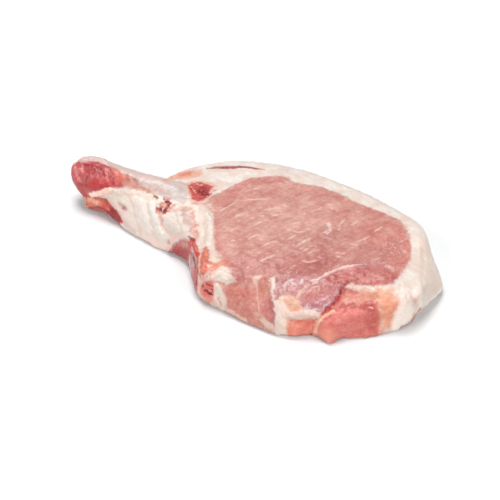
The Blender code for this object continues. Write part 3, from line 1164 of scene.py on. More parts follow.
@dataclass(frozen=True)
class Moisture:
    """Beads of juice that glisten on the wet parts of the cut face."""

    spread: float = 0.6            # beads on a square millimetre where it is wettest
    size: float = 0.5              # the widest bead
    smallest: float = 0.35         # the narrowest one's share of that width
    height: float = 0.6            # how high a bead stands, as a share of its width
    threshold: float = 0.25        # the wetness from which beads form
    segments: int = 8              # faces round a bead
    rings: int = 4                 # and from its top to its foot
    seed: int = 7

    def tree(self) -> bpy.types.NodeTree:
        """Return the node tree that scatters beads over a mesh's wet places.

        Returns:
            The tree.
        """
        group = bpy.data.node_groups.new("moisture", "GeometryNodeTree")
        for name, kind in (("Skin", "Geometry"), ("Spread", "Float"), ("Size", "Float"),
                           ("Height", "Float"), ("Threshold", "Float"), ("Seed", "Int"),
                           ("Finish", "Material")):
            group.interface.new_socket(name, in_out="INPUT", socket_type="NodeSocket" + kind)
        group.interface.new_socket("Beads", in_out="OUTPUT", socket_type="NodeSocketGeometry")
        tree = Tree(group)
        given = {socket.name: Socket(tree, socket)
                 for socket in group.nodes.new("NodeGroupInput").outputs}
        wet = tree.node("GeometryNodeInputNamedAttribute", {"data_type": "FLOAT"},
                        {"Name": "wet"}, "Attribute")
        above = wet.maths("SUBTRACT", wet, given["Threshold"], clamp=True)
        points = tree.node("GeometryNodeDistributePointsOnFaces", {"distribute_method": "RANDOM"},
                           {"Mesh": given["Skin"], "Density": above * given["Spread"],
                            "Seed": given["Seed"]}, "Points")
        share = tree.node("FunctionNodeRandomValue", {"data_type": "FLOAT"},
                          {2: self.smallest, 3: 1.0, "Seed": given["Seed"]}, 1)
        width = share * given["Size"]
        size = tree.node("ShaderNodeCombineXYZ", {},
                         {"X": width, "Y": width, "Z": width * given["Height"]})
        bead = tree.node("GeometryNodeMeshUVSphere", {},
                         {"Radius": 0.5, "Segments": self.segments, "Rings": self.rings})
        beads = tree.node("GeometryNodeInstanceOnPoints", {},
                          {"Points": points, "Instance": bead, "Scale": size,
                           "Rotation": points.beside("Rotation")})
        real = tree.node("GeometryNodeRealizeInstances", {}, {"Geometry": beads})
        smooth = tree.node("GeometryNodeSetShadeSmooth", {}, {0: real})
        dressed = tree.node("GeometryNodeSetMaterial", {},
                            {"Geometry": smooth, "Material": given["Finish"]})
        tree.plug(group.nodes.new("NodeGroupOutput").inputs["Beads"], dressed)
        return group

    def material(self) -> bpy.types.Material:
        """Return the beads' glossy finish, whose near-white colour is a painted highlight.

        Returns:
            The material.
        """
        graph = Graph("moisture_finish")
        share = graph.noise(graph.place(), size=1.2).step(-0.2, 0.2)
        tint = graph.mix(share, (*linear(GLINT), 1.0), (*linear(ROSE), 1.0))
        return graph.finish({"Base Color": tint, "Roughness": 0.08, "Coat Weight": 0.6,
                             "Coat Roughness": 0.03})

    def build(self, skins: Objects) -> Objects:
        """Scatter beads on the pieces that are wet.

        Args:
            skins: The painted pieces.

        Returns:
            One object of beads for each wet piece.
        """
        tree = self.tree()
        finish = self.material()
        sizes = {"Spread": self.spread / MM ** 2, "Size": self.size * MM, "Height": self.height,
                 "Threshold": self.threshold, "Seed": self.seed, "Finish": finish}
        made = []
        for skin in skins:
            wet = np.empty(len(skin.data.vertices), np.float32)
            skin.data.attributes["wet"].data.foreach_get("value", wet)
            if wet.max() <= self.threshold:
                continue
            beads = add_object(skin.name.replace("_piece", "_moisture"), skin.data.copy())
            modifier = beads.modifiers.new("moisture", "NODES")
            modifier.node_group = tree
            for socket in tree.interface.items_tree:
                if socket.name in sizes:
                    modifier[socket.identifier] = sizes[socket.name]
            applied(beads)
            if not beads.data.vertices:
                bpy.data.objects.remove(beads)
                continue
            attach(beads, "root")
            made.append(beads)
        return made


@dataclass(frozen=True)
class Rib(Part):
    """The scraped rib: lean left on its head, its pale neck and its sawn marrow."""

    bone: Tissue = Tissue(
        "rib_bone", Finish(Kind.BONE, (232, 216, 210), (228, 204, 198), 7.0, 0.6, -24.0))
    meat: Tissue = Tissue(
        "rib_meat", Finish(Kind.MUSCLE, (204, 104, 98), (190, 80, 76), 4.0, 0.5, -24.0))
    head: Stroke = Patch(
        (71, 167, 78, 161, 88, 159.5, 98, 161, 107, 165, 117, 169, 126, 175, 131, 181, 124, 187,
         112, 188, 103, 190, 94, 193, 90, 200, 84, 200, 78, 192, 72, 184, 68, 176), 0.6, (202, 92, 92))
    head_dark: Stroke = Patch(
        (84, 163, 99, 163, 109, 168, 112, 177, 100, 177, 88, 173), 1.4, (182, 62, 72), 0.7)
    head_low: Stroke = Patch(
        (84, 185, 96, 178, 110, 178, 122, 184, 108, 188, 94, 191), 1.4, (208, 52, 52), 0.8)
    head_pink: Stroke = Patch(
        (71, 167, 79, 165, 84, 172, 82, 181, 76, 182, 70, 175), 1.0, (222, 108, 114), 0.7)
    head_spot: Stroke = Stroke((80.5, 169, 82.5, 171.5), 1.0, (242, 188, 190), 0.9, 0.3)
    # The dark colour of the three creases below is painted shade in the pressed lines.
    head_creases: Stroke = Stroke(
        (83, 165, 91, 166, 100, 169, 104, 176), 0.7, (150, 44, 54), 0.8, -0.45)
    head_cleft: Stroke = Stroke((89, 175, 86, 181, 87, 188), 0.6, (160, 50, 56), 0.5, -0.35)
    head_furrow: Stroke = Stroke((110, 170, 113, 176, 112, 183), 0.6, (160, 60, 64), 0.5, -0.3)
    head_streak_a: Stroke = Stroke((75, 168, 78, 174, 80, 181), 0.8, (222, 150, 150), 0.6, ragged=0.9)
    head_streak_b: Stroke = Stroke((94, 166, 97, 172, 98, 178), 0.6, (224, 140, 140), 0.6, ragged=0.9)
    head_streak_c: Stroke = Stroke(
        (105, 169, 107, 175, 107, 181), 0.6, (222, 130, 122), 0.6, ragged=0.9)
    head_wet: Stroke = Stroke((78, 170, 92, 172, 112, 177), 5.5, wet=0.35)
    shoulder: Stroke = Patch(
        (111, 167, 121, 171, 130, 177, 140, 184, 133, 187, 124, 184, 116, 180), 2.0, (224, 122, 104),
        0.75)
    neck_edge: Stroke = Stroke((126, 183, 134, 186, 143, 188.5, 153, 191), 2.3, (216, 146, 128), 0.95)
    neck_shade: Stroke = Stroke((127, 176, 133, 179, 140, 183), 2.2, (196, 126, 114), 0.9)
    neck: Stroke = Patch(
        (138, 175, 150, 177, 163, 180, 176, 184, 186, 190, 189, 200, 183, 205, 172, 200, 158, 194,
         147, 187, 137, 183), 1.2, (214, 196, 191), 0.9)
    neck_fleck: Stroke = Stroke(
        (138, 178, 148, 182, 160, 186, 172, 192), 1.4, (240, 226, 221), 0.7, ragged=1.2)
    neck_pink: Stroke = Stroke((140, 184, 152, 188, 160, 191), 1.3, (226, 186, 178), 0.7, ragged=1.2)
    neck_grey: Stroke = Patch(
        (166, 186, 178, 188, 186, 197, 178, 199, 168, 193), 1.5, (216, 208, 206), 0.6)
    top_edge: Stroke = Patch(
        (79, 160.5, 78, 153, 104, 152, 114, 159, 127, 164, 142, 170, 164, 176, 164, 183, 146, 181,
         134, 177, 122, 171.5, 110, 165.5, 100, 161.5, 88, 160), 0.5, (226, 200, 194), 0.9)
    cartilage: Stroke = Stroke(
        (82, 160.5, 89, 159, 97, 159, 104, 160.5), 2.4, (230, 198, 193), 0.8, 1.2)
    corner: Stroke = Stroke((74, 166, 73.5, 173, 76, 181, 80, 189, 85, 197), 3.0, rise=1.1, ragged=0.0)
    cartilage_end: Stroke = Stroke((79.5, 159.5, 84, 157.5), 1.2, (236, 178, 182), 0.8)
    marrow_rim: Stroke = Patch(
        (186, 184, 192, 180.5, 203, 180, 212, 183, 218, 186, 212, 193, 208, 200, 199, 203.5, 190, 202,
         187, 193), 0.7, (236, 188, 174), 0.8)
    marrow: Stroke = Patch(
        (189, 185, 193, 182.5, 202, 182, 209, 184, 213, 186.5, 210, 190, 209, 195, 205, 199.5,
         198, 201.5, 192, 199.5, 190, 193), 0.45, (204, 84, 78))
    marrow_core: Stroke = Patch(
        (199, 186, 205, 185.5, 208, 190, 207, 196, 201, 198, 197, 192), 0.8, (160, 46, 50), 0.85)
    marrow_pit: Stroke = Stroke((203, 191, 206, 195), 1.4, (128, 22, 26), 0.7, -1.0)
    marrow_specks: Stroke = Stroke(
        (191.5, 187, 194, 190, 193, 194), 0.6, (247, 206, 190), 0.8, ragged=1.1)
    marrow_crumbs: Stroke = Stroke(
        (196, 184, 200, 185.5, 204, 184), 0.5, (246, 198, 184), 0.8, ragged=1.1)
    marrow_wet: Stroke = Stroke((193, 187, 202, 190, 200, 197), 3.4, wet=0.35)
    crack: Stroke = Stroke((207, 198, 211, 194, 217, 189.5), 0.6, (184, 84, 82), 0.8, -0.3)
    crack_lip: Stroke = Stroke((205, 201, 211, 197.5, 218, 191.5), 0.7, (240, 212, 202), 0.7)
    eye_tip: Stroke = Stroke((210, 199, 214, 196.5, 219, 193.5), 1.4, (215, 152, 144), 0.85)
    under_marrow: Stroke = Stroke((193, 203.5, 203, 204, 211, 201), 1.5, (221, 170, 160), 0.8)
    under: Stroke = Patch(
        (85, 195, 97, 197, 106, 198, 113, 206, 119, 212, 124, 223, 116, 224, 107, 216, 97, 211, 86, 212,
         82, 203), 0.5, (230, 92, 82))
    under_orange: Stroke = Patch(
        (85, 196, 97, 197.5, 104, 199, 102, 206, 94, 209, 86, 208), 1.2, (250, 150, 124), 0.85,
        ragged=1.0)
    under_dark: Stroke = Patch(
        (110, 207, 115, 208, 120, 213, 123, 222, 116, 222, 109, 215), 0.7, (166, 36, 40), 0.85)
    # Painted highlight on the rib meat's underside.
    under_gloss: Stroke = Stroke((101, 201, 105, 205, 109, 210), 0.8, (234, 134, 124), 0.6)
    # Painted shade in the crease along the rib meat's bottom edge.
    under_crease: Stroke = Stroke(
        (87, 208, 94, 207, 102, 208.8, 110, 213.8, 117, 219.8), 0.9, (126, 58, 56), 0.8)
    under_swell: Stroke = Stroke(
        (88, 206, 96, 206.5, 104, 208.5, 112, 214), 2.4, rise=1.1, soft=1.0, ragged=0.0)
    # Pale orange of the underside, over 255 as painted light that makes up for the shade there.
    under_pale: Stroke = Stroke((90, 199.5, 96, 201), 1.6, (262, 196, 172), 0.8, ragged=0.6)
    under_lip: Stroke = Stroke((96, 198, 104, 199, 108, 202), 1.3, (206, 104, 88), 0.6, -1.0)
    # Painted highlight along the left edge of the rib meat's lower end.
    chin: Stroke = Stroke((84.5, 198, 85.5, 203, 87, 207), 1.0, (246, 206, 192), 0.8)


@dataclass(frozen=True)
class Flap(Part):
    """The white flap of fat and membrane folded over the rib, with its torn pit."""

    fat: Tissue = Tissue("rib_fat", Finish(Kind.FAT, (256, 243, 234), (255, 233, 221), 10.0))
    tongue: Stroke = Patch(
        (88, 194.5, 92, 191.5, 98, 191, 105, 189, 110, 187.5, 118, 189.5, 125, 189, 132, 192, 138, 200,
         134, 214, 124, 216, 118, 210.5, 112, 204.5, 106.5, 198, 98, 197, 91, 197.5), 0.4,
        (255, 239, 229))
    # Brighter tip of the flap's tongue, over 255 as painted light that makes up for the shade there.
    tongue_tip: Stroke = Stroke(
        (91, 194.5, 98, 194, 105, 192, 111, 190), 1.7, (288, 236, 222), 0.9, 0.8, 0.5)
    upper_rim: Stroke = Stroke(
        (112, 191, 119, 192.5, 126, 191.5, 133, 193, 142, 194.5, 151, 198), 1.9, (246, 222, 210), 0.85,
        0.7, 0.8, 0.15)
    left_rim: Stroke = Stroke(
        (108, 199.5, 114, 206, 120, 212.5, 124, 221), 1.4, (244, 214, 206), 0.8, 0.5)
    left_blush: Stroke = Stroke((122, 216, 126, 224, 133, 231), 2.6, (238, 200, 194), 0.6)
    bruise: Stroke = Stroke((121, 205, 125, 207.5), 2.4, (229, 178, 174), 0.8, -0.6)
    bruise_core: Stroke = Stroke((122.5, 208.5, 125, 208), 1.0, (200, 122, 122), 0.7, -0.3)
    # The folds' darker colours below are painted shade, and the crests' paler colours painted highlight
    # on their lit tops.
    first_fold: Stroke = Stroke(
        (129, 197, 133, 208, 136, 220, 141, 234), 1.5, (246, 218, 206), 0.6, -0.3)
    first_crest: Stroke = Stroke((138, 199, 142, 213, 147, 231), 2.6, (247, 238, 231), 0.5, 0.4)
    second_fold: Stroke = Stroke(
        (144, 201, 149, 213, 152, 226, 158, 242), 1.6, (247, 224, 212), 0.5, -0.25)
    second_crest: Stroke = Stroke((152, 204, 155, 220, 160, 234), 3.0, (249, 245, 240), 0.7, 0.5)
    third_fold: Stroke = Stroke((160, 220, 164, 228, 170, 236), 1.4, (246, 210, 196), 0.6, -0.3)
    # Pink blush of the flap's low part, over 255 as painted light that makes up for the shade there.
    lower_blush: Stroke = Stroke((146, 240, 158, 245, 168, 247, 172, 242), 3.6, (272, 238, 227), 0.8)
    lower_swell: Stroke = Stroke((154, 247, 162, 250, 170, 249), 3.0, rise=0.9, soft=1.0, ragged=0.0)
    grey: Stroke = Patch(
        (167, 216, 176, 208, 190, 207, 195, 222, 191, 238, 178, 239, 168, 230), 2.2, (234, 220, 212),
        0.75)
    grey_pink: Stroke = Stroke((184, 210, 188, 221, 194, 235), 3.0, (208, 168, 160), 0.85)
    # The grey lines' darker colour is painted shade in their folds, and the crest's paler colour
    # painted highlight.
    grey_lines: Stroke = Stroke((176, 212, 178, 222, 182, 231), 0.9, (222, 198, 188), 0.5, -0.3)
    grey_crest: Stroke = Stroke((170, 222, 174, 229, 182, 228), 2.4, (245, 232, 223), 0.6, 0.5)
    notch_lip: Stroke = Stroke(
        (171, 240, 176, 237, 184, 236.5, 191, 236), 1.8, (255, 220, 212), 0.9, 0.2)
    seam: Stroke = Stroke((168, 206, 175, 210, 184, 208, 190, 209), 1.9, (229, 184, 168), 0.9, -0.3)
    inner_blush: Stroke = Stroke((203, 207, 208, 208, 214, 212), 2.2, (212, 158, 146), 0.95)
    streak: Stroke = Stroke((192, 213, 194, 222, 195, 231, 196, 238), 1.8, (230, 170, 160), 0.85, -0.4)
    streak_red: Stroke = Stroke((195, 225, 198, 226, 196, 232), 0.9, (222, 134, 124), 0.7)
    pit_halo: Stroke = Stroke((160, 213, 166, 213, 171, 209, 173, 205), 2.0, (222, 168, 156), 0.9)
    pit: Stroke = Stroke(
        (158.5, 210, 162, 206, 167, 202, 169, 206, 165, 210.5), 1.8, (196, 84, 78), 1.0, -1.6, 0.8, 0.6)
    # The near-black of the pit's core and top is painted shade in its depth.
    pit_core: Stroke = Stroke(
        (160, 208.5, 164, 210.5, 168, 206), 0.9, (104, 18, 22), 1.0, -1.6, ragged=0.5)
    pit_top: Stroke = Stroke((163.5, 199.5, 167, 202), 0.8, (118, 28, 32), 1.0, -1.0)
    pit_lump: Stroke = Stroke((162, 204, 165, 205.5), 1.7, (236, 172, 152), 1.0, 1.6, 0.6)
    pit_bead: Stroke = Stroke((165, 198, 169, 199), 1.3, (236, 170, 170), 1.0, 0.9, 0.6)
    pit_blush: Stroke = Stroke((159, 213, 162, 218, 161, 224), 1.2, (236, 184, 168), 0.7)
    pit_wet: Stroke = Stroke((160, 208, 167, 203), 2.6, wet=0.4)
    # The puncture's dark colour is painted shade in the small hole.
    puncture: Stroke = Stroke((154.5, 196.3, 157.5, 198), 0.9, (140, 78, 82), 1.0, -1.1)
    puncture_lip: Stroke = Stroke((152, 193, 157, 193.5), 1.4, (244, 224, 208), 0.5, 0.3)
    spot: Stroke = Stroke((155, 247.5), 0.9, (190, 150, 140), 0.7)


@dataclass(frozen=True)
class Ridge(Part):
    """The fat ridge left of the eye, with its lumps and the sawn ring of bone."""

    ring: Tissue = Tissue("chine_bone", Finish(Kind.BONE, (248, 184, 168), (242, 152, 136), 3.0))
    fat: Tissue = Tissue("ridge_fat", Finish(Kind.FAT, (242, 222, 212), (239, 206, 192), 6.0))
    crest: Stroke = Patch(
        (199, 204, 206, 206, 212, 214, 213.5, 228, 212, 244, 207, 248, 202, 246, 200, 232, 200, 216),
        0.9, (241, 222, 211), 0.9)
    crest_top: Stroke = Stroke((206, 213, 209, 219, 210, 230, 208, 243), 2.2, (246, 236, 228), 0.6, 0.6)
    # The groove's darker colour is painted shade along the crest.
    crest_groove: Stroke = Stroke((203, 222, 204, 233, 204, 243), 0.9, (230, 206, 188), 0.6, -0.4)
    lump: Stroke = Patch(
        (201, 251, 206, 247, 210, 252, 209, 260, 208.5, 268, 205, 275, 200, 277, 198.5, 268, 199, 258),
        1.0, (216, 110, 88), 0.95, ragged=0.8)
    lump_swell: Stroke = Stroke((205, 251, 205, 261, 203, 272), 2.2, rise=0.6, ragged=0.0)
    lump_red: Stroke = Stroke((207, 261, 206, 270), 1.3, (224, 96, 78), 0.8, ragged=0.8)
    lump_pale: Stroke = Stroke((202, 256, 204, 263, 202, 270), 0.8, (240, 158, 130), 0.5, ragged=0.9)
    # Painted highlight on the orange lump.
    lump_gloss: Stroke = Stroke((206, 250, 207, 256), 0.9, (240, 160, 128), 0.7)
    lump_edge: Stroke = Stroke((200.5, 249, 199.5, 261, 199.5, 272), 0.8, (240, 198, 180), 0.8)
    cream_high: Stroke = Patch(
        (212, 250, 219, 252, 223, 258, 217, 262.5, 211, 258), 0.7, (240, 216, 202), 0.9)
    orange_low: Stroke = Patch(
        (210, 262, 218, 262, 227, 258, 233, 263, 228, 268, 219, 272, 207, 270), 1.0, (228, 146, 122),
        0.95, ragged=0.5)
    orange_fleck: Stroke = Stroke((209, 263, 215, 267), 2.4, (226, 136, 110), 0.8, ragged=0.4)
    curds: Stroke = Patch(
        (207, 274, 214, 271, 221, 266, 228, 267, 230, 274, 236.5, 278, 234, 283, 226, 284, 217, 281,
         207, 280), 0.6, (248, 231, 219), 0.95)
    curds_swell: Stroke = Stroke((212, 276, 221, 273, 228, 277, 234, 280.5), 2.2, rise=0.8)
    curds_shade: Stroke = Stroke((212, 282, 218, 282.5, 224, 284), 0.9, (224, 132, 116), 0.8, -0.7)
    curds_start: Stroke = Stroke((207.5, 275, 213, 273.5), 1.7, (238, 172, 156), 0.8, ragged=0.8)
    curds_bead: Stroke = Stroke((232, 279, 235, 281), 1.0, (249, 214, 204), 0.8, 0.5)
    # Pink face of the sawn ring, over 255 as painted light that makes up for the shade on this wall.
    ring_face: Stroke = Patch(
        (198, 285, 203, 279.5, 212, 279, 219, 283, 219, 293, 214, 303, 205, 302, 198, 294), 0.8,
        (262, 174, 158), 0.95)
    ring_rim: Stroke = Stroke(
        (199, 291, 202, 282, 209, 279.5, 215, 282), 0.9, (243, 214, 202), 0.8, 0.5)
    ring_marrow: Stroke = Patch(
        (201.5, 285, 205, 281.5, 211, 281.5, 215, 286, 214.5, 293, 210, 297, 204, 296, 201, 291), 1.0,
        (238, 112, 100), 0.9)
    ring_pit: Stroke = Stroke((204, 286, 208, 289, 211, 292), 1.6, rise=-0.5, ragged=1.0)
    ring_speck_a: Stroke = Stroke((203, 286.5, 205, 290.5), 0.9, (150, 18, 24), 0.95, -0.4, ragged=0.8)
    ring_speck_b: Stroke = Stroke(
        (207, 283.5, 210, 285.5, 212.5, 286), 0.7, (170, 30, 30), 0.95, -0.4, ragged=0.9)
    ring_speck_c: Stroke = Stroke(
        (207, 291.5, 210, 293, 212, 293.5), 0.9, (156, 22, 26), 0.95, -0.4, ragged=0.8)
    ring_speck_d: Stroke = Stroke((209.5, 288, 212.5, 290), 0.5, (182, 36, 34), 0.8, -0.3, ragged=0.8)
    ring_crumbs: Stroke = Stroke(
        (205, 285.5, 207.5, 288.5, 210, 290.5), 0.6, (250, 200, 188), 0.8, 0.4, ragged=1.0)
    ring_wet: Stroke = Stroke((205, 287, 210, 291), 2.6, wet=0.8)
    ring_tail: Stroke = Stroke((204, 298, 210, 301), 1.7, (250, 158, 140), 0.8)
    wall_streak: Stroke = Patch(
        (214, 284, 218, 282.5, 222, 290, 227, 300, 228.5, 314, 223, 312, 218, 304, 214, 298), 0.6,
        (254, 236, 224), 0.95)
    wall_lean: Stroke = Patch(
        (219, 284, 227, 285, 230, 300, 228, 305, 226.5, 298, 222, 290), 0.8, (229, 166, 154), 0.9)
    wall_rise: Stroke = Stroke((217, 285, 222, 294, 226, 306), 1.2, rise=0.5, ragged=0.0)
    wall_pink: Stroke = Stroke((219, 298, 221, 305), 1.2, (244, 156, 140), 0.8, ragged=0.6)
    wall_foot: Stroke = Stroke((212, 302, 216, 307, 223, 312), 1.1, (236, 180, 166), 0.7)
    # Painted shadow in the gap under the ring's lifted bottom edge.
    ring_heel: Stroke = Stroke((199, 298, 205, 302.5, 211, 305), 1.2, (190, 120, 110), 0.8)


@dataclass(frozen=True)
class Notch(Part):
    """The notch under the flap: dark lean, a bright strip and wet membrane."""

    lean: Tissue = Tissue(
        "intercostal_muscle", Finish(Kind.MUSCLE, (184, 100, 98), (166, 72, 76), 5.0, 0.5, 60.0))
    muscle: Stroke = Patch(
        (169, 251.5, 175, 244, 183, 240, 190, 240.5, 192, 248, 190, 256, 188, 264, 181, 261, 174, 257),
        0.5, (206, 88, 86))
    muscle_dark: Stroke = Patch(
        (174, 252, 180, 248, 187, 250, 188, 261, 181, 259), 1.2, (178, 54, 58), 0.6)
    # Painted highlight on the notch's lean.
    muscle_sheen: Stroke = Stroke((180, 244.5, 187, 245), 2.4, (230, 164, 156), 0.9)
    muscle_rim: Stroke = Stroke(
        (171, 250.5, 176, 243.5, 183, 239.7, 190, 240), 0.9, (224, 170, 164), 0.85, -0.2)
    strip: Stroke = Patch(
        (189.5, 238, 194.5, 240, 197, 246, 200.5, 254, 198, 260, 193.5, 253, 191.5, 246), 0.5,
        (216, 82, 74))
    # Painted shade in the crease under the notch's lip.
    strip_dark: Stroke = Stroke((188, 236.8, 194, 240), 0.9, (138, 56, 54), 0.85, -0.9)
    # Painted highlight on the red strip.
    strip_gloss: Stroke = Stroke((194, 244, 197, 251), 0.6, (238, 160, 150), 0.7)
    membrane: Stroke = Patch(
        (186, 261, 191, 253, 196, 258, 197.5, 267, 194, 278, 188.5, 272), 0.6, (206, 152, 148), 0.9)
    membrane_white: Stroke = Stroke((190, 256, 189.5, 264, 191.5, 273), 0.6, (240, 226, 224), 0.85, 0.3)
    membrane_dark: Stroke = Stroke((193, 257, 195, 262, 195.5, 267), 1.0, (104, 44, 56), 0.85, -0.5)
    membrane_vein: Stroke = Stroke((187, 262, 189.5, 269), 0.5, (150, 90, 98), 0.6)
    membrane_wet: Stroke = Stroke((189, 258, 193, 270), 2.6, wet=0.7)
    red: Stroke = Patch(
        (193, 267, 198, 267, 198, 280, 196.5, 293, 191.5, 284, 191, 275), 0.5, (200, 62, 60), 0.95)
    red_dark: Stroke = Stroke((195, 267, 196.5, 275, 196, 284), 0.8, (134, 40, 46), 0.8)
    # Painted highlight on the red lean.
    red_gloss: Stroke = Stroke((192, 274, 193, 282, 194.5, 289), 0.6, (238, 200, 192), 0.75)
    # Painted shadow in the gap under the ring's lifted bottom edge.
    heel: Stroke = Stroke((196, 292, 200, 299, 207, 304.5), 0.9, (172, 92, 88), 0.7)


@dataclass(frozen=True)
class LoinEye(Part):
    """The loin eye: its tones, its front wall and its threads of fat."""

    lean: Tissue = Tissue(
        "loin_eye", Finish(Kind.MUSCLE, (219, 160, 150), (212, 144, 134), 9.0, 0.6, 40.0, 0.8))
    middle: Stroke = Patch(
        (240, 205, 290, 200, 330, 215, 322, 242, 280, 248, 245, 232), 5.0, (221, 166, 156), 0.7)
    far_rim: Stroke = Stroke((222, 204, 236, 191, 256, 182, 284, 179), 3.4, (213, 140, 132), 0.75)
    far_rim_right: Stroke = Stroke((300, 190, 330, 196, 355, 206, 382, 217), 3.0, (216, 148, 138), 0.6)
    right: Stroke = Patch(
        (356, 226, 380, 220, 402, 239, 406, 256, 398, 274, 388, 272, 376, 252, 362, 240), 4.0,
        (211, 132, 122), 0.7)
    right_dusk: Stroke = Patch(
        (350, 248, 372, 244, 388, 255, 388, 267, 372, 276, 354, 262), 2.4, (192, 120, 114), 0.5)
    right_rim: Stroke = Stroke((388, 222, 401, 234, 407, 250, 403, 266), 2.6, (216, 126, 114), 0.7)
    near: Stroke = Patch(
        (225, 260, 250, 260, 290, 259, 325, 248, 345, 262, 325, 274, 300, 280, 262, 276, 236, 284), 3.5,
        (184, 100, 96), 0.72)
    dusk: Stroke = Patch(
        (268, 246, 300, 234, 345, 226, 356, 238, 330, 252, 290, 260), 3.5, (192, 124, 118), 0.5)
    # Painted shade that darkens the sheen where the top rolls over towards the front.
    heap: Stroke = Patch((242, 262, 276, 262, 277, 281, 262, 277, 250, 283), 3.0, (198, 124, 114), 0.6)
    left_rim: Stroke = Stroke((218, 222, 219, 240, 222, 256), 2.8, (216, 146, 136), 0.6)
    wall: Stroke = Patch(
        (226, 285, 246, 287, 262, 291, 274, 297, 275, 333, 256, 330, 240, 320, 226, 312), 2.0,
        (218, 138, 124), 0.8)
    # Painted shadow on the front wall beside the white seam.
    wall_dark: Stroke = Patch(
        (262, 300, 273, 296, 276, 312, 276, 328, 268, 321, 260, 312), 1.2, (196, 106, 106), 0.75)
    wall_blush: Stroke = Patch(
        (226, 286, 236, 284, 246, 292, 240, 300, 228, 298), 1.5, (220, 124, 108), 0.6)
    wall_foot: Stroke = Stroke((236, 318, 254, 327, 270, 333), 1.7, (236, 162, 146), 0.8)
    wall_fat: Stroke = Patch(
        (258, 319, 266, 320, 274, 325, 274, 331, 266, 328), 0.6, (232, 208, 196), 0.85)
    wall_fleck: Stroke = Stroke((256, 313, 263, 318), 1.2, (232, 188, 176), 0.7, ragged=0.7)
    wall_corner: Stroke = Stroke((228, 311, 236, 315, 244, 320), 1.8, (252, 206, 188), 0.8, ragged=0.6)
    hook: Stroke = Patch(
        (253, 283, 252.5, 279, 256, 276, 263, 274, 262, 277, 258, 281, 257, 286), 0.5, (236, 200, 186),
        0.9)
    hook_shade: Stroke = Patch(
        (258, 281, 264, 276, 270, 280, 271, 296, 264, 300, 258, 292), 1.4, (203, 126, 110), 0.85)
    hook_line: Stroke = Stroke((257, 286, 258, 298, 259, 312), 0.6, (232, 178, 162), 0.7, 0.15)
    star: Stroke = Stroke((329, 224, 331, 230, 327, 233), 0.8, (242, 214, 208), 0.8, ragged=0.9)
    wet_all: Stroke = Patch(
        (222, 205, 256, 184, 300, 190, 380, 218, 406, 240, 400, 270, 330, 262, 228, 258), 3.0, wet=0.12)
    wet_left: Stroke = Stroke((226, 256, 240, 260, 252, 266), 2.2, wet=0.15)
    wet_heap: Stroke = Stroke((254, 266, 262, 262), 2.8, wet=0.2)
    wet_near: Stroke = Patch(
        (268, 268, 290, 266, 318, 266, 340, 256, 352, 260, 345, 272, 325, 277, 300, 281, 272, 280), 2.5,
        wet=0.38)
    wet_right: Stroke = Patch(
        (378, 240, 404, 238, 410, 256, 404, 278, 388, 278, 380, 262), 2.5, wet=0.75)
    threads: tuple[Path, ...] = (
        (245, 192.5, 252, 189, 262, 188), (218, 212, 226, 208, 240, 199),
        (240, 200, 258, 199, 274, 199), (262, 211, 270, 209, 282, 206),
        (294, 248, 304, 241, 314, 237), (320, 234, 327, 231, 331, 229),
        (339, 226, 343, 221, 346, 218), (356, 242, 364, 239, 370, 236),
        (258, 262, 270, 257, 278, 253), (283, 228, 298, 232, 307, 231), (302, 251, 310, 248),
        (300, 260, 308, 262, 318, 260), (292, 224, 303, 221), (230, 241, 236, 240),
        (336, 256, 344, 257), (252, 226, 262, 221), (228, 232, 240, 226), (246, 240, 258, 234),
        (270, 216, 284, 213), (310, 212, 322, 207), (350, 226, 360, 219), (372, 232, 384, 226),
        (286, 240, 296, 235), (232, 218, 243, 213), (262, 246, 276, 240))

    def marks(self) -> list[Stroke]:
        """Return the marks that are laid on the eye, its threads of fat last."""
        return super().marks() + [Stroke(path, 0.75, line=True, taper=True, strength=1.3)
                                  for path in self.threads]


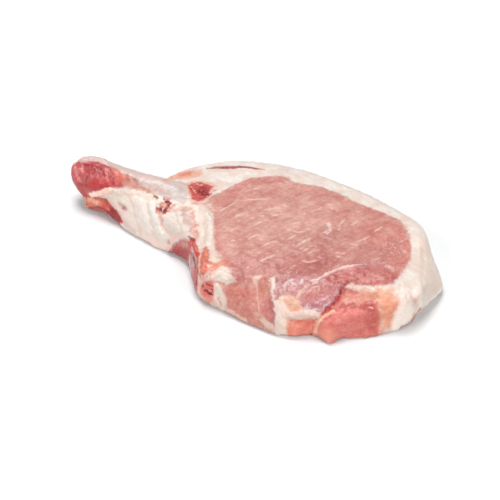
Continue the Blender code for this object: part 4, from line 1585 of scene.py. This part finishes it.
@dataclass(frozen=True)
class Cap(Part):
    """The cap muscle under its silver skin, and the white seam on its left."""

    lean: Tissue = Tissue(
        "cap_muscle", Finish(Kind.MUSCLE, (214, 152, 152), (208, 130, 124), 6.0, 0.5, 40.0, 0.4))
    top: Stroke = Patch(
        (274, 277, 290, 279, 303, 279, 318, 275, 326, 280, 312, 287, 300, 294, 284, 296, 275, 292), 1.5,
        (202, 134, 132), 0.8)
    red: Stroke = Patch(
        (322, 278, 338, 271, 362, 268, 385, 269, 397, 274, 395, 284, 370, 285, 349, 284, 335, 284), 1.2,
        (196, 98, 90), 0.9)
    red_light: Stroke = Patch(
        (364, 272, 378, 269, 392, 272, 391, 277, 378, 278), 1.5, (220, 148, 140), 0.4)
    purple: Stroke = Patch(
        (299, 303, 303, 295, 312, 288, 326, 285, 344, 285, 340, 292, 333, 301, 325, 308, 312, 310,
         303, 309), 0.9, (208, 137, 140), 0.9)
    purple_red: Stroke = Patch(
        (302, 297, 312, 289, 324, 286, 338, 286, 330, 292, 310, 300), 1.4, (210, 128, 118), 0.7)
    purple_deep: Stroke = Stroke((304, 306.5, 312, 307.5, 321, 305), 1.1, (178, 112, 136), 0.6)
    seam: Stroke = Stroke(
        (273, 278, 273, 287, 275, 300, 277, 314, 277, 333), 1.5, (240, 222, 216), 0.9, 0.5, 0.6, 0.5)
    seam_shade: Stroke = Stroke(
        (279, 281, 278.5, 289, 278, 297), 2.2, (200, 138, 136), 0.95, -0.3, ragged=0.5)
    seam_white: Stroke = Stroke(
        (284, 288, 286, 282, 291, 279.5), 1.1, (232, 208, 208), 0.8, 0.35, ragged=0.6)
    bubbles: Stroke = Stroke((292, 284, 297, 285, 303, 281), 0.9, (236, 208, 210), 0.8, 0.3, ragged=1.0)
    orange_edge: Stroke = Patch(
        (283, 300, 290, 296, 298, 300, 303, 309, 300, 313, 290, 312, 286, 306), 0.9, (240, 182, 154),
        0.85)
    orange_ridge: Stroke = Stroke((288, 303, 296, 304, 302, 309), 1.0, (240, 192, 170), 0.8, 0.6)
    silver: Stroke = Stroke(
        (300, 282, 311, 280.5, 319, 279, 326, 274, 338, 268.5, 352, 265.5, 366, 264), 1.0,
        (240, 204, 197), 1.0, 0.5, 0.7, 0.4, taper=True)
    silver_end: Stroke = Stroke((374, 263, 383, 263, 388, 267), 1.2, (230, 184, 178), 0.35, ragged=0.8)
    curl: Stroke = Stroke((297, 298, 301, 292, 308, 286, 316, 283), 1.0, (240, 198, 182), 0.85, 0.4)
    curl_inner: Stroke = Stroke((314, 288, 318, 286.5, 320, 290), 0.7, (240, 188, 178), 0.8, 0.2)
    fringe: Stroke = Stroke(
        (304, 309.5, 313, 310, 322, 309.5, 330, 304), 1.1, (218, 200, 202), 0.85, ragged=0.9)
    fringe_low: Stroke = Stroke((304, 313.5, 315, 315, 325, 312), 1.4, (212, 174, 166), 0.7, ragged=0.8)
    # Painted highlight on the silver skin's fringe.
    fringe_gloss: Stroke = Stroke((316, 303, 322, 300, 328, 297), 0.6, (238, 200, 206), 0.7, ragged=0.9)
    fringe_shade: Stroke = Stroke(
        (308, 312, 318, 312, 327, 307), 0.6, (160, 116, 124), 0.6, -0.4, ragged=0.8)
    # The crevice below is dark red flesh, and its darkest line is painted shade in its depth.
    crevice: Stroke = Stroke(
        (347, 283, 342, 291, 339, 299, 331, 306.5, 323, 314.5), 1.3, (198, 66, 64), 1.0, -1.6, 0.8, 0.3)
    crevice_deep: Stroke = Stroke((343, 288, 338, 297, 333, 303), 0.8, (158, 34, 38), 0.9, -0.5, 0.9)
    crevice_lip: Stroke = Stroke((336, 299, 330, 304.5, 325, 309), 0.8, (190, 96, 116), 0.7)
    wet_top: Stroke = Patch(
        (274, 276, 300, 278, 330, 270, 360, 267, 396, 270, 394, 284, 350, 285, 335, 298, 322, 308,
         304, 308, 298, 296, 280, 294), 2.0, wet=0.55)


@dataclass(frozen=True)
class Side(Part):
    """The lean and fat of the near right side, under the cap muscle."""

    muscle: Tissue = Tissue(
        "side_muscle", Finish(Kind.MUSCLE, (220, 124, 116), (212, 104, 96), 6.0, 0.5, 20.0, 0.25))
    block: Tissue = Tissue(
        "seam_muscle", Finish(Kind.MUSCLE, (240, 150, 129), (233, 124, 102), 4.0, 0.5, 60.0))
    fat: Tissue = Tissue("seam_fat", Finish(Kind.FAT, (255, 229, 214), (252, 212, 194), 5.0))
    top_fat: Stroke = Stroke(
        (350, 286, 359, 288.5, 372, 290, 386, 291, 398, 286), 1.5, (240, 208, 192), 0.9, 0.3, 0.8, 0.9)
    top_fat_low: Stroke = Stroke((362, 289, 374, 291, 386, 293), 1.4, (234, 176, 152), 0.85, ragged=0.6)
    bulge: Stroke = Patch(
        (285, 312, 292, 313, 300, 311, 311, 310.5, 321, 313, 318, 318, 305, 320, 287, 320), 0.6,
        (243, 213, 202), 0.95)
    bulge_swell: Stroke = Stroke((289, 315, 300, 315, 311, 314, 317, 314.5), 2.0, rise=0.9)
    bulge_shade: Stroke = Stroke((289, 319.5, 300, 320.5, 312, 319), 0.8, (232, 150, 126), 0.8, -0.6)
    # Orange of the lean block, over 255 as painted light that makes up for the shade on the front wall.
    orange: Stroke = Patch(
        (288, 321, 300, 320.5, 313, 320.5, 313, 328, 312, 337, 300, 340, 288, 340), 0.6,
        (258, 156, 134), 0.95)
    orange_red: Stroke = Patch((304, 321, 312, 321, 312, 336, 307, 332), 1.0, (230, 108, 90), 0.4)
    orange_glint: Stroke = Stroke((290, 324, 296, 325), 1.4, (243, 168, 146), 0.7, ragged=0.8)
    orange_foot: Stroke = Stroke((290, 336, 300, 337.5, 310, 336), 0.8, (214, 88, 66), 0.7)
    post: Stroke = Stroke((288, 318, 287, 328, 287, 337), 0.9, (243, 190, 166), 0.7)
    cleft: Stroke = Stroke((313, 321, 312.5, 330, 311, 336), 0.7, (226, 104, 84), 0.6, -0.2)
    lean: Stroke = Patch(
        (318, 326, 330, 317, 345, 307, 362, 304, 379, 304, 381, 318, 379, 334, 360, 338, 340, 339,
         330, 345, 320, 340), 0.9, (243, 138, 128), 0.85)
    shoulder: Stroke = Patch(
        (347, 292, 358, 293, 376, 295, 379, 300, 377, 304, 360, 304, 346, 306, 341, 299), 1.2,
        (234, 160, 141), 0.85)
    shoulder_start: Stroke = Stroke((344, 289, 351, 290.5), 1.8, (198, 112, 100), 0.85)
    shoulder_dark: Stroke = Stroke((343, 306, 352, 305, 362, 307, 372, 304), 2.1, (194, 86, 80), 0.85)
    shoulder_end: Stroke = Stroke((373, 295, 381, 298, 386, 305), 2.4, (222, 148, 122), 0.9)
    lean_dark: Stroke = Patch(
        (368, 302, 379, 302, 382, 318, 379, 334, 371, 334, 364, 320), 1.4, (206, 86, 82), 0.6)
    lean_orange: Stroke = Patch(
        (318, 330, 330, 328, 339, 335, 331, 345, 321, 341), 1.6, (255, 160, 138), 0.85)
    lean_swell: Stroke = Stroke((330, 325, 345, 319, 360, 318), 5.5, rise=0.6, ragged=0.0)
    glint: Stroke = Stroke((368, 307, 372, 308), 0.5, (252, 228, 222), 0.9, ragged=0.7)
    # Painted highlight on the lit ridge of the lower lobe's upper edge.
    ridge: Stroke = Stroke(
        (315, 337, 316, 329, 319, 321.5, 326, 315, 334, 310.5), 1.5, (264, 206, 178), 0.95, 0.3, 0.9)
    side_line: Stroke = Stroke(
        (376, 297, 380, 306, 381, 320, 380, 334), 0.9, (240, 192, 172), 0.8, -0.4)
    foot_swell: Stroke = Stroke(
        (350, 336, 366, 335.5, 380, 334, 394, 331), 3.6, rise=2.5, soft=1.0, ragged=0.0)
    tip: Stroke = Stroke((329, 340, 331, 342), 2.4, rise=1.0, soft=1.0, ragged=0.0)
    foot: Stroke = Stroke((334, 338, 342, 338, 354, 338.5, 366, 337.5), 0.7, (243, 190, 170), 0.8)
    foot_shade: Stroke = Stroke((340, 339, 354, 339.5, 367, 338), 0.5, (206, 100, 88), 0.3)
    wet: Stroke = Patch((330, 316, 350, 304, 378, 300, 380, 330, 340, 334), 2.5, wet=0.25)


@dataclass(frozen=True)
class BackFat(Part):
    """The fat round the back: its slit, its orange end, its dents and blushes, and painted light on its
    shaded near corner and right wall.
    """

    fat: Tissue = Tissue("back_fat", Finish(Kind.FAT, (245, 235, 228), (239, 214, 202), 9.0, 0.7))
    cheek: Stroke = Patch(
        (378, 289, 392, 291, 401, 299, 401, 312, 394, 325, 381, 334), 2.8, (250, 170, 142), ragged=0.7)
    cheek_top: Stroke = Stroke((381, 292, 392, 296, 401, 306), 2.2, (236, 186, 160), 0.7)
    end_band: Stroke = Patch(
        (162, 180.5, 170, 175, 178, 171.5, 188, 170, 201, 170, 203, 174, 196, 178, 186, 179.5,
         176, 179.5, 167, 182), 0.8, (240, 178, 154), 0.85)
    end_red: Stroke = Patch(
        (176, 174, 184, 171.5, 191, 172, 190, 176, 182, 177.5), 0.7, (230, 134, 116), 0.7)
    end_orange: Stroke = Stroke((165, 180, 172, 177), 1.0, (232, 150, 112), 0.7)
    # The slit's dark colour is painted shade inside the pressed slit.
    slit: Stroke = Stroke(
        (206, 169, 216, 167.8, 230, 167.5, 244, 167.3, 254, 168.4, 265, 169.6), 1.3, (168, 96, 98), 1.0,
        -1.3, 0.6, 0.1, taper=True)
    slit_grey: Stroke = Stroke((207, 168.3, 214, 167, 222, 166.5), 0.6, (150, 120, 116), 0.7)
    slit_shade: Stroke = Stroke((210, 171, 230, 170.3, 256, 171.4), 1.6, (240, 216, 210), 0.6)
    far_blush: Stroke = Stroke((286, 172, 304, 177, 324, 184), 2.6, (243, 222, 216), 0.6)
    far_grey: Stroke = Stroke(
        (262, 164, 290, 168, 320, 176, 356, 190, 392, 208), 2.4, (231, 222, 216), 0.7)
    right_rim: Stroke = Stroke((414, 232, 416, 250, 416, 270), 2.6, (243, 224, 215), 0.6)
    right_wall: Stroke = Patch(
        (424, 236, 429, 252, 437, 270, 447, 286, 440, 300, 428, 304, 424, 285, 421, 262), 1.8,
        (250, 230, 218), 0.85)
    # Painted light, over 255, that makes up for the shade low on the right wall.
    right_low: Stroke = Stroke((428, 305, 435, 300, 441, 294), 3.4, (290, 272, 262), 0.85, ragged=0.0)
    dent: Stroke = Stroke(
        (423, 250, 423, 264, 422, 278, 424, 292), 1.8, (234, 211, 200), 0.6, -0.3, ragged=0.0)
    pink_spot: Stroke = Stroke((411, 294, 414, 297, 416, 301), 1.3, (238, 188, 178), 0.75, -0.4)
    corner: Stroke = Stroke((406, 290, 403, 304, 398, 318), 3.0, (247, 236, 228), 0.6, 0.5)
    undercut: Stroke = Stroke(
        (421, 321, 427, 316, 434, 309, 440, 301), 3.2, rise=-1.5, soft=1.0, ragged=0.0)
    # Painted light, over 255, that makes up for the shade where the near corner curves under.
    near_corner: Stroke = Patch(
        (398, 306, 408, 302, 414, 308, 412, 318, 404, 328, 392, 334, 392, 322), 1.5, (278, 262, 252),
        0.85)
    # Painted light, over 255, on the corner's shaded side.
    corner_light: Stroke = Stroke((416, 292, 421, 299, 420, 307), 3.0, (272, 252, 242), 0.75)
    tucked: Stroke = Stroke(
        (403.5, 330, 409, 323, 415, 316, 418.5, 311.5), 1.8, (222, 152, 128), 0.95, 0.0, 0.6, 0.5)
    shoulder: Stroke = Stroke((414, 227, 419, 234, 421, 243), 6.0, rise=1.3, soft=1.0, ragged=0.0)


def main() -> None:
    """Build the chop and its studio, and log how many faces its meshes have."""
    logging.basicConfig(level=logging.INFO, format="%(relativeCreated)d %(message)s")
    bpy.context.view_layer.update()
    studio = Studio()
    studio.build()
    parts = [Rib(), Flap(), Ridge(), Notch(), LoinEye(), Cap(), Side(), BackFat()]
    body = Body(parts, studio, pitch=0.42)
    LOG.info("body: %d faces", len(body.rest.data.polygons))
    skins = []
    for part in parts:
        pieces = part.build(body)
        skins += pieces
        LOG.info("%s: %s", type(part).__name__,
                 ", ".join(f"{piece.name} {len(piece.data.polygons)} faces" for piece in pieces))
    for part in parts:
        count = len(part.tissues())
        part.dress(body, skins[:count])
        skins = skins[count:] + skins[:count]
    for beads in Moisture().build(skins):
        LOG.info("%s: %d faces", beads.name, len(beads.data.polygons))


if __name__ == "__main__":
    main()
